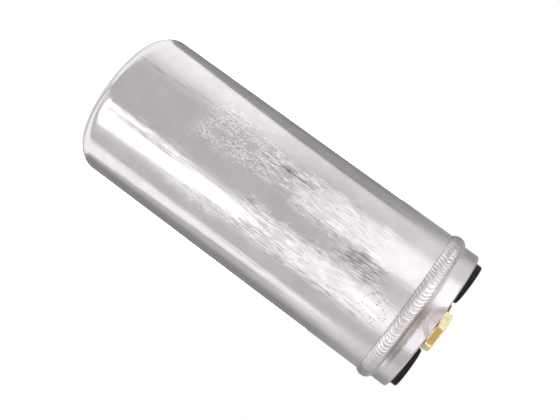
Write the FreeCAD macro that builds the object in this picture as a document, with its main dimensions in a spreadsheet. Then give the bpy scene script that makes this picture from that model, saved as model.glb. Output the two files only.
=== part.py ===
# Receiver drier of a vehicle air conditioner: a welded aluminium can, its head, ports, plug and filter bed.
# It stands upright on the closed end of the can: origin at the centre of that base, Z along the can.
# The ports lie on the X axis and the hexagon plug on the -Y side. Lengths are in millimetres.

import FreeCAD, Part
import Sketcher

import math
import os

# Angles in degrees, and how close two positions count as the same.
FULL_TURN = 360.0
QUARTER_TURN = 90.0
NEAR = 1e-4

# Shares and slopes: a hexagon's corner over its apothem, the dish's run over its rise, and the part of each
# weld ripple that climbs before it drops.
HEX_CORNER = 2 / math.sqrt(3)
DISH_SLOPE = 4.0
RIPPLE_SHARE = 0.8

# Driving dimensions, in millimetres and degrees. Each is one cell of the sheet, with its name as alias.
DRIVING_SIZES = {
    "can_radius": 30.0,
    "can_wall": 2.0,
    "can_corner_radius": 6.0,
    "can_length": 135.2,
    "base_ring_width": 4.6,
    "base_dish_height": 0.6,
    "weld_prep_depth": 1.4,
    "weld_half_width": 3.4,
    "weld_crown": 1.6,
    "weld_ripples": 124,
    "weld_ripple_height": 0.36,
    "weld_ripple_lead": 1.8,
    "weld_gap": 0.02,
    "head_step": 0.7,
    "head_rim_height": 9.2,
    "head_corner_radius": 1.0,
    "spigot_length": 9.0,
    "spigot_clearance": 0.1,
    "spigot_chamfer": 1.0,
    "port_inset": 10.6,
    "inlet_bore_radius": 6.2,
    "outlet_bore_radius": 5.4,
    "outlet_bore_depth": 13.5,
    "port_chamfer": 0.8,
    "cap_flange_radius": 8.3,
    "cap_flange_height": 3.1,
    "cap_edge_radius": 0.7,
    "cap_recess_depth": 0.9,
    "cap_recess_rim": 1.6,
    "cap_stem_length": 7.5,
    "cap_stem_wall": 1.3,
    "cap_stem_taper": 0.4,
    "bolt_hole_radius": 2.5,
    "bolt_hole_depth": 9.0,
    "bolt_hole_x": 12.5,
    "bolt_hole_inset": 12.3,
    "scallop_ball_radius": 9.0,
    "scallop_standoff": 5.6,
    "scallop_rise": 3.1,
    "scallop_lip_radius": 7.3,
    "scallop_lip_depth": 0.6,
    "plug_x": 2.3,
    "plug_inset": 11.9,
    "plug_turn": 16.0,
    "plug_across_flats": 14.0,
    "plug_hex_height": 3.2,
    "plug_corner_chamfer": 0.9,
    "plug_shank_radius": 4.7,
    "plug_shank_length": 15.0,
    "plug_bore_radius": 1.9,
    "plug_socket_radius": 3.0,
    "plug_socket_depth": 2.2,
    "plug_seal_thickness": 0.4,
    "plug_seal_radius": 6.4,
    "glass_ring_radius": 9.4,
    "glass_ring_height": 2.4,
    "glass_ring_edge_radius": 0.7,
    "glass_ring_thread_length": 4.0,
    "glass_ring_opening": 5.4,
    "glass_radius": 7.2,
    "glass_thickness": 3.6,
    "glass_clearance": 0.1,
    "seal_wire_radius": 0.9,
    "seal_squeeze": 0.2,
    "glass_chamber_radius": 4.4,
    "tube_radius": 4.75,
    "tube_wall": 0.9,
    "tube_seat_depth": 4.5,
    "tube_foot_height": 13.0,
    "tube_clearance": 0.15,
    "tube_seal_height": 2.6,
    "cross_passage_radius": 1.7,
    "cross_passage_rise": 0.3,
    "strainer_radius": 7.0,
    "strainer_height": 12.0,
    "strainer_socket_depth": 4.0,
    "strainer_floor": 1.2,
    "strainer_rib_width": 1.8,
    "strainer_rib_depth": 1.4,
    "strainer_ribs": 6,
    "mesh_thickness": 0.3,
    "bed_clearance": 0.2,
    "carrier_height": 32.0,
    "carrier_land": 9.0,
    "carrier_foot_inset": 1.5,
    "plate_thickness": 1.0,
    "plate_hole_radius": 1.6,
    "plate_inner_ring": 10.5,
    "plate_outer_ring": 18.5,
    "plate_inner_holes": 10,
    "plate_outer_holes": 18,
    "felt_thickness": 6.0,
    "bed_height": 44.0,
    "spring_wire_width": 2.2,
    "spring_wire_height": 1.6,
    "spring_clearance": 1.3,
    "spring_turns": 3,
}


class Size:
    """A number together with the sheet formula that gives it."""

    def __init__(self, number, formula):
        self.number = number
        self.formula = formula

    def combined(self, other, sign, number):
        return Size(number, f"({self.formula} {sign} {other.formula})")

    def __add__(self, other):
        other = as_size(other)
        return self.combined(other, "+", self.number + other.number)

    def __sub__(self, other):
        other = as_size(other)
        return self.combined(other, "-", self.number - other.number)

    def __mul__(self, other):
        other = as_size(other)
        return self.combined(other, "*", self.number * other.number)

    def __truediv__(self, other):
        other = as_size(other)
        return self.combined(other, "/", self.number / other.number)

    def __neg__(self):
        return Size(-self.number, f"(-{self.formula})")


def root(value):
    """The square root of a Size."""
    return Size(math.sqrt(value.number), f"sqrt({value.formula})")


def as_size(value):
    """Turn a plain number into a Size, and leave a Size alone."""
    if isinstance(value, Size):
        return value
    return Size(value, str(value))


# The two sides of the YZ plane.
SIDES = (Size(-1, "-1"), Size(1, "1"))

document = FreeCAD.newDocument("receiver_drier")
sheet = document.addObject("Spreadsheet::Sheet", "Sizes")


def fill_sheet():
    """Write every driving dimension to a row of the sheet and hand back the named sizes."""
    named = {}
    for row, (name, number) in enumerate(DRIVING_SIZES.items(), start=1):
        sheet.set(f"A{row}", name)
        sheet.set(f"B{row}", str(number))
        sheet.setAlias(f"B{row}", name)
        named[name] = Size(number, f"Sizes.{name}")
    document.recompute()
    return named


size = fill_sheet()
ZERO = as_size(0)


def bind(thing, prop, value):
    """Tie a property to its formula in the sheet."""
    thing.setExpression(prop, as_size(value).formula)


# Heights and radii that several pieces share, each worked out once from the driving dimensions.
can_bore = size["can_radius"] - size["can_wall"]
head_radius = size["can_radius"] - size["head_step"]
port_offset = head_radius - size["port_inset"]
bolt_hole_y = head_radius - size["bolt_hole_inset"]
plug_y = size["plug_inset"] - head_radius
shoulder_z = size["can_length"]
face_z = shoulder_z + size["head_rim_height"]
spigot_z = shoulder_z - size["spigot_length"]
spigot_radius = can_bore - size["spigot_clearance"]
weld_root_radius = size["can_radius"] - size["weld_prep_depth"]
weld_foot_z = shoulder_z - size["weld_half_width"]
weld_top_z = shoulder_z + size["weld_half_width"]
floor_z = size["can_wall"] + size["base_dish_height"]
bed_radius = can_bore - size["bed_clearance"]
base_flat_radius = size["can_radius"] - size["can_corner_radius"]
base_dish_edge = base_flat_radius - size["base_ring_width"]
carrier_foot_radius = base_flat_radius - size["carrier_foot_inset"]
spring_radius = can_bore - size["spring_clearance"] - size["spring_wire_width"] / 2
tube_passage = size["tube_radius"] + size["tube_clearance"]
tube_top_z = spigot_z + size["tube_seat_depth"]
carrier_top_z = size["can_wall"] + size["carrier_height"]
bottom_felt_z = carrier_top_z
bed_z = bottom_felt_z + size["felt_thickness"]
top_felt_z = bed_z + size["bed_height"]
top_plate_z = top_felt_z + size["felt_thickness"]
spring_z = top_plate_z + size["plate_thickness"]
plug_seat_z = face_z + size["plug_seal_thickness"]
glass_top_z = face_z - size["glass_ring_thread_length"]
glass_z = glass_top_z - size["glass_thickness"]
glass_bore_radius = size["glass_radius"] + size["glass_clearance"]
seal_section = size["seal_wire_radius"] - size["seal_squeeze"] / 2
glass_seat_z = glass_z - seal_section * 2
tube_seal_z = spigot_z + size["tube_seal_height"]
tube_groove_radius = size["tube_radius"] + seal_section * 2
strainer_top_z = size["tube_foot_height"] + size["strainer_socket_depth"]
strainer_z = strainer_top_z - size["strainer_height"]
strainer_bore = size["strainer_radius"] - size["strainer_rib_depth"]


def new_body(name):
    """Start a body whose label is the name of its file."""
    body = document.addObject("PartDesign::Body", name)
    body.Label = name
    body.Placement = FreeCAD.Placement()
    return body


def new_sketch(body, name, role, raised=None):
    """Put a sketch on one of the body's own origin planes, raised from it where a height is given."""
    plane = next(item for item in body.Origin.OriginFeatures if item.Role == role)
    sketch = body.newObject("Sketcher::SketchObject", name)
    sketch.AttachmentSupport = [(plane, "")]
    sketch.MapMode = "FlatFace"
    if raised is not None:
        sketch.AttachmentOffset = FreeCAD.Placement(FreeCAD.Vector(0, 0, raised.number), FreeCAD.Rotation())
        bind(sketch, "AttachmentOffset.Base.z", raised)
    return sketch


def pin_point(sketch, geometry, point, x, y):
    """Fix one point of a sketch at two formulas measured from the sketch's origin."""
    for kind, axis, value in (("DistanceX", -2, as_size(x)), ("DistanceY", -1, as_size(y))):
        if value.formula == "0":
            sketch.addConstraint(Sketcher.Constraint("PointOnObject", geometry, point, axis))
        else:
            index = sketch.addConstraint(Sketcher.Constraint(kind, -1, 1, geometry, point, value.number))
            bind(sketch, f"Constraints[{index}]", value)


def line(x, y):
    """An outline's next corner, reached by a straight edge."""
    return (as_size(x), as_size(y), None)


def arc(x, y, radius, bulge):
    """An outline's next corner, reached by an arc that turns left for bulge 1 and right for bulge -1."""
    return (as_size(x), as_size(y), (as_size(radius), bulge))


def draw_outline(sketch, corners):
    """Draw a closed outline of straight edges and arcs, each corner tied to its formulas."""
    count = len(corners)
    for index, (x, y, _) in enumerate(corners):
        next_x, next_y, bend = corners[(index + 1) % count]
        start = FreeCAD.Vector(x.number, y.number, 0)
        end = FreeCAD.Vector(next_x.number, next_y.number, 0)
        if bend is None:
            sketch.addGeometry(Part.LineSegment(start, end))
        else:
            sketch.addGeometry(bent_edge(start, end, bend[0].number, bend[1]))
    for index in range(count):
        following = (index + 1) % count
        bend_here = corners[following][2]
        bend_next = corners[(following + 1) % count][2]
        end_point = 1 if bend_here is not None and bend_here[1] < 0 else 2
        start_point = 2 if bend_next is not None and bend_next[1] < 0 else 1
        sketch.addConstraint(Sketcher.Constraint("Coincident", index, end_point, following, start_point))
        if bend_here is not None:
            row = sketch.addConstraint(Sketcher.Constraint("Radius", index, bend_here[0].number))
            bind(sketch, f"Constraints[{row}]", bend_here[0])
    for index, (x, y, _) in enumerate(corners):
        bend = corners[(index + 1) % count][2]
        point = 2 if bend is not None and bend[1] < 0 else 1
        pin_point(sketch, index, point, x, y)


def bent_edge(start, end, radius, bulge):
    """An arc between two points that turns left for bulge 1 and right for bulge -1."""
    chord = end - start
    half = chord.Length / 2
    rise = math.sqrt(max(radius * radius - half * half, 0.0))
    normal = FreeCAD.Vector(-chord.y, chord.x, 0)
    normal.normalize()
    centre = start + chord * 0.5 + normal * (rise * bulge)
    first, last = (start, end) if bulge > 0 else (end, start)
    circle = Part.Circle(centre, FreeCAD.Vector(0, 0, 1), radius)
    return Part.ArcOfCircle(circle, turn_of(first - centre), turn_of(last - centre))


def turn_of(direction):
    """The direction's angle from the X axis."""
    return math.atan2(direction.y, direction.x)


def draw_circle(sketch, x, y, radius):
    """Draw a circle with its centre and radius tied to their formulas."""
    radius = as_size(radius)
    x = as_size(x)
    y = as_size(y)
    centre = FreeCAD.Vector(x.number, y.number, 0)
    index = sketch.addGeometry(Part.Circle(centre, FreeCAD.Vector(0, 0, 1), radius.number))
    pin_point(sketch, index, 3, x, y)
    row = sketch.addConstraint(Sketcher.Constraint("Radius", index, radius.number))
    bind(sketch, f"Constraints[{row}]", radius)


def turned_body(name, corners):
    """A turned piece: an outline of radii and heights, spun once round the Z axis."""
    body = new_body(name)
    section = new_sketch(body, name + "_section", "XZ_Plane")
    draw_outline(section, corners)
    turning = body.newObject("PartDesign::Revolution", name + "_turning")
    turning.Profile = section
    turning.ReferenceAxis = (section, ["V_Axis"])
    turning.Angle = FULL_TURN
    section.Visibility = False
    body.Tip = turning
    document.recompute()
    return body


def drill(body, name, circles, top, depth, upward=False):
    """Sink round holes of one depth from a height, downward unless told otherwise, and see that they cut."""
    before = body.Shape.Volume
    plan = new_sketch(body, name + "_plan", "XY_Plane", top)
    for x, y, radius in circles:
        draw_circle(plan, x, y, radius)
    hole = body.newObject("PartDesign::Pocket", name)
    hole.Profile = plan
    hole.Length = as_size(depth).number
    bind(hole, "Length", depth)
    hole.Reversed = upward
    body.Tip = hole
    document.recompute()
    if body.Shape.Volume >= before:
        raise RuntimeError(f"{name} removes nothing")
    return hole


def soften(body, name, kind, amount, chosen):
    """Round or bevel the edges of a body that the test picks."""
    before = body.Tip
    picked = [f"Edge{number}" for number, edge in enumerate(before.Shape.Edges, start=1) if chosen(edge)]
    if not picked:
        raise RuntimeError(f"{name} finds no edge")
    feature = body.newObject(f"PartDesign::{kind}", name)
    feature.Base = (before, picked)
    prop = "Radius" if kind == "Fillet" else "Size"
    setattr(feature, prop, as_size(amount).number)
    bind(feature, prop, amount)
    body.Tip = feature
    document.recompute()
    return feature


def ring_edge(x, y, z, radius):
    """A test that is true for a circular edge with this centre and radius."""
    centre = FreeCAD.Vector(as_size(x).number, as_size(y).number, as_size(z).number)
    wanted = as_size(radius).number

    def test(edge):
        curve = edge.Curve
        if not isinstance(curve, Part.Circle):
            return False
        return (curve.Center - centre).Length < NEAR and abs(curve.Radius - wanted) < NEAR

    return test


def moved(body, x=ZERO, y=ZERO, z=ZERO):
    """Carry a finished body to its place."""
    for axis, value in (("x", x), ("y", y), ("z", z)):
        bind(body, f"Placement.Base.{axis}", value)
    document.recompute()
    return body


# The deep-drawn can: flat standing ring, dished middle, rounded corner and a lip bevelled for the weld.
def make_can_shell():
    radius = size["can_radius"]
    corner = size["can_corner_radius"]
    inner_corner = corner - size["can_wall"]
    dish = size["base_dish_height"]
    dish_radius = base_dish_edge - dish * DISH_SLOPE
    return turned_body("can_shell", [
        line(ZERO, dish),
        line(dish_radius, dish),
        line(base_dish_edge, ZERO),
        line(radius - corner, ZERO),
        arc(radius, corner, corner, 1),
        line(radius, weld_foot_z),
        line(weld_root_radius, shoulder_z),
        line(can_bore, shoulder_z),
        line(can_bore, corner),
        arc(can_bore - inner_corner, size["can_wall"], inner_corner, -1),
        line(base_dish_edge, size["can_wall"]),
        line(dish_radius, floor_z),
        line(ZERO, floor_z),
    ])


# The head, turned from one blank, with ports, plug hole, sight-glass bore and the scallop in its rim.
def make_head():
    rim = head_radius
    chamfer = size["spigot_chamfer"]
    corner = size["head_corner_radius"]
    body = turned_body("head", [
        line(ZERO, spigot_z),
        line(spigot_radius - chamfer, spigot_z),
        line(spigot_radius, spigot_z + chamfer),
        line(spigot_radius, shoulder_z),
        line(weld_root_radius, shoulder_z),
        line(rim, weld_top_z),
        line(rim, face_z - corner),
        arc(rim - corner, face_z, corner, 1),
        line(ZERO, face_z),
    ])
    cut_scallop(body)
    through = face_z - spigot_z
    inlet_x = -port_offset
    drill(body, "inlet_bore", [(inlet_x, ZERO, size["inlet_bore_radius"])], face_z, through)
    drill(body, "outlet_bore", [(port_offset, ZERO, size["outlet_bore_radius"])], face_z,
          size["outlet_bore_depth"])
    drill(body, "plug_hole", [(size["plug_x"], plug_y, size["plug_shank_radius"])], face_z, through)
    bolt_hole = (bolt_hole_y, size["bolt_hole_radius"])
    bolt_holes = [(side * size["bolt_hole_x"], *bolt_hole) for side in SIDES]
    drill(body, "bolt_holes", bolt_holes, face_z, size["bolt_hole_depth"])
    drill(body, "glass_bore", [(ZERO, ZERO, glass_bore_radius)], face_z, face_z - glass_seat_z)
    drill(body, "glass_chamber", [(ZERO, ZERO, size["glass_chamber_radius"])], glass_seat_z,
          glass_seat_z - tube_top_z)
    drill(body, "tube_bore", [(ZERO, ZERO, size["tube_radius"])], spigot_z, size["tube_seat_depth"],
          upward=True)
    cut_seal_groove(body)
    drill_cross_passage(body)
    for name, x, radius in (("inlet_mouth", inlet_x, size["inlet_bore_radius"]),
                            ("outlet_mouth", port_offset, size["outlet_bore_radius"])):
        soften(body, name, "Chamfer", size["port_chamfer"], ring_edge(x, ZERO, face_z, radius))
    return body


# A ball-shaped scallop with a bevelled lip bites into the rim below the plug.
def cut_scallop(body):
    before = body.Shape.Volume
    plane = next(item for item in body.Origin.OriginFeatures if item.Role == "XZ_Plane")
    height = face_z + size["scallop_rise"]
    standoff = size["scallop_standoff"]
    lip_depth = size["scallop_lip_depth"]
    reach = standoff + lip_depth
    lip_inner = root(size["scallop_ball_radius"] * size["scallop_ball_radius"] - reach * reach)
    lip_slope = (size["scallop_lip_radius"] - lip_inner) / lip_depth
    ball = body.newObject("PartDesign::SubtractiveSphere", "scallop_ball")
    ball.AttachmentSupport = [(plane, "")]
    ball.MapMode = "FlatFace"
    bind(ball, "Radius", size["scallop_ball_radius"])
    bind(ball, "AttachmentOffset.Base.y", height)
    bind(ball, "AttachmentOffset.Base.z", head_radius + standoff)
    lip = body.newObject("PartDesign::SubtractiveCone", "scallop_lip")
    lip.AttachmentSupport = [(plane, "")]
    lip.MapMode = "FlatFace"
    bind(lip, "Radius1", lip_inner)
    bind(lip, "Radius2", lip_inner + lip_slope * reach)
    bind(lip, "Height", reach)
    bind(lip, "AttachmentOffset.Base.y", height)
    bind(lip, "AttachmentOffset.Base.z", head_radius - lip_depth)
    body.Tip = lip
    document.recompute()
    if body.Shape.Volume >= before:
        raise RuntimeError("the scallop removes nothing")


# The O-ring groove in the tube bore.
def cut_seal_groove(body):
    half = size["seal_wire_radius"]
    inner = size["tube_radius"] - size["tube_wall"]
    section = new_sketch(body, "tube_seal_groove_section", "XZ_Plane")
    draw_outline(section, [
        line(inner, tube_seal_z - half),
        line(tube_groove_radius, tube_seal_z - half),
        line(tube_groove_radius, tube_seal_z + half),
        line(inner, tube_seal_z + half),
    ])
    groove = body.newObject("PartDesign::Groove", "tube_seal_groove")
    groove.Profile = section
    groove.ReferenceAxis = (section, ["V_Axis"])
    groove.Angle = FULL_TURN
    body.Tip = groove
    document.recompute()


# A level passage leads from the chamber under the glass to the outlet bore.
def drill_cross_passage(body):
    before = body.Shape.Volume
    section = new_sketch(body, "cross_passage_section", "YZ_Plane")
    level = face_z - size["outlet_bore_depth"] + size["cross_passage_radius"] + size["cross_passage_rise"]
    draw_circle(section, ZERO, level, size["cross_passage_radius"])
    passage = body.newObject("PartDesign::Pocket", "cross_passage")
    passage.Profile = section
    bind(passage, "Length", port_offset)
    passage.Reversed = True
    body.Tip = passage
    document.recompute()
    if body.Shape.Volume >= before:
        raise RuntimeError("the cross passage removes nothing")


# The weld bead: one closed skin of ripple after ripple, each leaning forward over the last like fallen coins.
def make_weld_bead():
    ripples = int(size["weld_ripples"].number)
    step = 2 * math.pi / ripples
    crest = size["weld_crown"].number + size["weld_ripple_height"].number
    trough = size["weld_crown"].number
    sections = []
    for ripple in range(ripples):
        sections.append(bead_section(ripple * step, trough))
        sections.append(bead_section((ripple + RIPPLE_SHARE) * step, crest))
    bead = document.addObject("Part::Feature", "weld_bead")
    bead.Label = "weld_bead"
    bead.Shape = Part.makeLoft(sections, True, True, True)
    bead.Placement = FreeCAD.Placement()
    return bead


def bead_section(turn, crown):
    """One closed section of the bead: root and toes upright at this turn, the crown leaning ahead of them."""
    gap = size["weld_gap"].number
    can_side = size["can_radius"].number + gap
    head_side = head_radius.number + gap
    root = weld_root_radius.number + gap
    middle = shoulder_z.number
    crown_radius = (can_side + head_side) / 2 + crown
    lead = size["weld_ripple_lead"].number / crown_radius

    def place(radius, height, ahead=0.0):
        return FreeCAD.Vector(radius * math.cos(turn + ahead), radius * math.sin(turn + ahead), height)

    path = [
        place(can_side, weld_foot_z.number),
        place(root, middle),
        place(head_side, weld_top_z.number),
    ]
    edges = [Part.LineSegment(first, second).toShape() for first, second in zip(path[:-1], path[1:])]
    edges.append(Part.Arc(path[-1], place(crown_radius, middle, lead), path[0]).toShape())
    return Part.Wire(edges)


# Black push-in transport caps: a round-edged flange with a shallow recess, and a hollow tapered stem.
def make_cap(name, x, bore_radius):
    flange = size["cap_flange_radius"]
    height = size["cap_flange_height"]
    edge = size["cap_edge_radius"]
    recess = flange - size["cap_recess_rim"]
    foot = -size["cap_stem_length"]
    foot_radius = bore_radius - size["cap_stem_taper"]
    hollow = foot_radius - size["cap_stem_wall"]
    body = turned_body(name, [
        line(hollow, foot),
        line(foot_radius, foot),
        line(bore_radius, -size["port_chamfer"]),
        line(bore_radius, ZERO),
        line(flange - edge, ZERO),
        arc(flange, edge, edge, 1),
        line(flange, height - edge),
        arc(flange - edge, height, edge, 1),
        line(recess, height),
        line(recess, height - size["cap_recess_depth"]),
        line(ZERO, height - size["cap_recess_depth"]),
        line(ZERO, ZERO),
        line(hollow, ZERO),
    ])
    return moved(body, x=x, z=face_z)


# The brass plug: a hexagon bevelled at both ends on a round shank, bored through for its fusible core.
def make_fusible_plug():
    body = new_body("fusible_plug")
    apothem = size["plug_across_flats"] / 2
    hex_corner = apothem * HEX_CORNER
    plan = new_sketch(body, "hexagon_plan", "XY_Plane")
    half_side = hex_corner / 2
    draw_outline(plan, [
        line(hex_corner, ZERO),
        line(half_side, apothem),
        line(-half_side, apothem),
        line(-hex_corner, ZERO),
        line(-half_side, -apothem),
        line(half_side, -apothem),
    ])
    hexagon = body.newObject("PartDesign::Pad", "hexagon")
    hexagon.Profile = plan
    bind(hexagon, "Length", size["plug_hex_height"])
    body.Tip = hexagon
    document.recompute()
    bevel_hexagon(body, hex_corner)
    shank_plan = new_sketch(body, "shank_plan", "XY_Plane")
    draw_circle(shank_plan, ZERO, ZERO, size["plug_shank_radius"])
    shank = body.newObject("PartDesign::Pad", "shank")
    shank.Profile = shank_plan
    shank.Reversed = True
    bind(shank, "Length", size["plug_shank_length"])
    body.Tip = shank
    document.recompute()
    top = size["plug_hex_height"]
    drill(body, "core_bore", [(ZERO, ZERO, size["plug_bore_radius"])], top, top + size["plug_shank_length"])
    drill(body, "core_mouth", [(ZERO, ZERO, size["plug_socket_radius"])], top, size["plug_socket_depth"])
    body.Placement = FreeCAD.Placement(FreeCAD.Vector(), FreeCAD.Vector(0, 0, 1), size["plug_turn"].number)
    bind(body, "Placement.Rotation.Angle", size["plug_turn"])
    return moved(body, x=size["plug_x"], y=plug_y, z=plug_seat_z)


# A turning cut takes the sharp corners off both ends of the hexagon.
def bevel_hexagon(body, hex_corner):
    top = size["plug_hex_height"]
    bevel = size["plug_corner_chamfer"]
    outside = hex_corner + bevel
    for name, level, sign in (("outer_bevel", top, -1), ("seat_bevel", ZERO, 1)):
        section = new_sketch(body, name + "_section", "XZ_Plane")
        draw_outline(section, [
            line(hex_corner - bevel, level),
            line(outside, level),
            line(outside, level + bevel * sign),
        ])
        cut = body.newObject("PartDesign::Groove", name)
        cut.Profile = section
        cut.ReferenceAxis = (section, ["V_Axis"])
        cut.Angle = FULL_TURN
        body.Tip = cut
        document.recompute()


# The low-melting core fills the plug's bore up to the floor of its mouth.
def make_fusible_alloy():
    core = document.addObject("Part::Cylinder", "fusible_alloy")
    core.Label = "fusible_alloy"
    bind(core, "Radius", size["plug_bore_radius"])
    bind(core, "Height", size["plug_shank_length"] + size["plug_hex_height"] - size["plug_socket_depth"])
    bind(core, "Placement.Base.x", size["plug_x"])
    bind(core, "Placement.Base.y", plug_y)
    bind(core, "Placement.Base.z", plug_seat_z - size["plug_shank_length"])
    return core


def make_plug_seal():
    body = turned_body("plug_seal", [
        line(size["plug_shank_radius"], ZERO),
        line(size["plug_seal_radius"], ZERO),
        line(size["plug_seal_radius"], size["plug_seal_thickness"]),
        line(size["plug_shank_radius"], size["plug_seal_thickness"]),
    ])
    return moved(body, x=size["plug_x"], y=plug_y, z=face_z)


# The screwed ring that holds the sight glass down, with a wide bevelled window.
def make_glass_ring():
    outer = size["glass_ring_radius"]
    edge = size["glass_ring_edge_radius"]
    height = size["glass_ring_height"]
    opening = size["glass_ring_opening"]
    return moved(turned_body("sight_glass_ring", [
        line(opening, -size["glass_ring_thread_length"]),
        line(glass_bore_radius, -size["glass_ring_thread_length"]),
        line(glass_bore_radius, ZERO),
        line(outer, ZERO),
        line(outer, height - edge),
        arc(outer - edge, height, edge, 1),
        line(opening + edge, height),
        line(opening, height - edge),
    ]), z=face_z)


def make_sight_glass():
    edge = size["glass_clearance"]
    return moved(turned_body("sight_glass", [
        line(ZERO, ZERO),
        line(size["glass_radius"], ZERO),
        line(size["glass_radius"], size["glass_thickness"] - edge),
        line(size["glass_radius"] - edge, size["glass_thickness"]),
        line(ZERO, size["glass_thickness"]),
    ]), z=glass_z)


def make_ring_seal(name, ring_radius, level):
    """An O-ring, drawn at the section that it is pressed to."""
    seal = document.addObject("Part::Torus", name)
    seal.Label = name
    bind(seal, "Radius1", ring_radius)
    bind(seal, "Radius2", seal_section)
    bind(seal, "Placement.Base.z", level)
    return seal


def make_pickup_tube():
    outer = size["tube_radius"]
    bore = outer - size["tube_wall"]
    foot = size["tube_foot_height"]
    return turned_body("pickup_tube", [
        line(bore, foot),
        line(outer, foot),
        line(outer, tube_top_z),
        line(bore, tube_top_z),
    ])


def pattern_around(body, name, original, copies):
    """Repeat one feature evenly round the Z axis and make the pattern the body's tip."""
    axis = next(item for item in body.Origin.OriginFeatures if item.Role == "Z_Axis")
    pattern = body.newObject("PartDesign::PolarPattern", name)
    pattern.Originals = [original]
    pattern.Axis = (axis, [""])
    pattern.Angle = FULL_TURN
    bind(pattern, "Occurrences", copies)
    body.Tip = pattern
    document.recompute()
    return pattern


# The strainer's moulded basket: a collar on the tube's foot, a floor, and windows between upright ribs.
def make_strainer_frame():
    outer = size["strainer_radius"]
    window_z = strainer_z + size["strainer_floor"]
    body = turned_body("strainer_frame", [
        line(ZERO, strainer_z),
        line(outer, strainer_z),
        line(outer, strainer_top_z),
        line(size["tube_radius"], strainer_top_z),
        line(size["tube_radius"], size["tube_foot_height"]),
        line(strainer_bore, size["tube_foot_height"]),
        line(strainer_bore, window_z),
        line(ZERO, window_z),
    ])
    before = body.Shape.Volume
    half_window = (outer - size["strainer_rib_width"]) / 2
    opening = new_sketch(body, "window_outline", "XZ_Plane")
    draw_outline(opening, [
        line(-half_window, window_z),
        line(half_window, window_z),
        line(half_window, size["tube_foot_height"]),
        line(-half_window, size["tube_foot_height"]),
    ])
    window = body.newObject("PartDesign::Pocket", "window")
    window.Profile = opening
    bind(window, "Length", outer)
    body.Tip = window
    document.recompute()
    pattern_around(body, "windows", window, size["strainer_ribs"])
    if body.Shape.Volume >= before:
        raise RuntimeError("the strainer's windows remove nothing")
    return body


def make_strainer_mesh():
    return turned_body("strainer_mesh", [
        line(strainer_bore - size["mesh_thickness"], strainer_z + size["strainer_floor"]),
        line(strainer_bore, strainer_z + size["strainer_floor"]),
        line(strainer_bore, size["tube_foot_height"]),
        line(strainer_bore - size["mesh_thickness"], size["tube_foot_height"]),
    ])


def make_bed_layer(name, level, height):
    """A layer of the bed: a thick washer that fills the can from the tube outwards."""
    return turned_body(name, [
        line(size["tube_radius"], level),
        line(bed_radius, level),
        line(bed_radius, level + height),
        line(size["tube_radius"], level + height),
    ])


def perforate(body, top, depth):
    """Punch two rings of round holes through a plate."""
    rings = (("inner", size["plate_inner_ring"], size["plate_inner_holes"]),
             ("outer", size["plate_outer_ring"], size["plate_outer_holes"]))
    for name, radius, count in rings:
        hole = drill(body, name + "_hole", [(radius, ZERO, size["plate_hole_radius"])], top, depth)
        pattern_around(body, name + "_holes", hole, count)
    return body


def make_top_plate():
    body = turned_body("top_plate", [
        line(tube_passage, top_plate_z),
        line(bed_radius, top_plate_z),
        line(bed_radius, top_plate_z + size["plate_thickness"]),
        line(tube_passage, top_plate_z + size["plate_thickness"]),
    ])
    return perforate(body, spring_z, size["plate_thickness"])


# The bed's carrier: a drawn cup turned upside down, its skirt drawn in to a foot on the can's floor.
def make_bed_carrier():
    thickness = size["plate_thickness"]
    land_z = carrier_top_z - size["carrier_land"]
    foot = carrier_foot_radius
    body = turned_body("bed_carrier", [
        line(tube_passage, carrier_top_z - thickness),
        line(bed_radius - thickness, carrier_top_z - thickness),
        line(bed_radius - thickness, land_z),
        line(foot - thickness, size["can_wall"]),
        line(foot, size["can_wall"]),
        line(bed_radius, land_z),
        line(bed_radius, carrier_top_z),
        line(tube_passage, carrier_top_z),
    ])
    return perforate(body, carrier_top_z, thickness)


# The bed spring: a coil of flat wire whose ends are ground level with the plate and the head.
def make_bed_spring():
    half_width = size["spring_wire_width"] / 2
    half_height = size["spring_wire_height"] / 2
    outside = spring_radius + size["spring_wire_width"]
    height = spigot_z - spring_z
    coil = document.addObject("Part::Helix", "spring_coil")
    bind(coil, "Radius", spring_radius)
    bind(coil, "Height", height)
    bind(coil, "Pitch", height / size["spring_turns"])
    bind(coil, "Placement.Base.z", spring_z)
    section = document.addObject("Part::Plane", "spring_wire")
    section.Placement = FreeCAD.Placement(FreeCAD.Vector(), FreeCAD.Vector(1, 0, 0), QUARTER_TURN)
    bind(section, "Length", size["spring_wire_width"])
    bind(section, "Width", size["spring_wire_height"])
    bind(section, "Placement.Base.x", spring_radius - half_width)
    bind(section, "Placement.Base.z", spring_z - half_height)
    document.recompute()
    sweep = document.addObject("Part::Sweep", "spring_sweep")
    sweep.Sections = [section]
    sweep.Spine = (coil, [f"Edge{number}" for number in range(1, len(coil.Shape.Edges) + 1)])
    sweep.Solid = True
    sweep.Frenet = True
    space = document.addObject("Part::Cylinder", "spring_space")
    bind(space, "Radius", outside)
    bind(space, "Height", height)
    bind(space, "Placement.Base.z", spring_z)
    spring = document.addObject("Part::Common", "bed_spring")
    spring.Label = "bed_spring"
    spring.Base = sweep
    spring.Tool = space
    document.recompute()
    return spring


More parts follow.
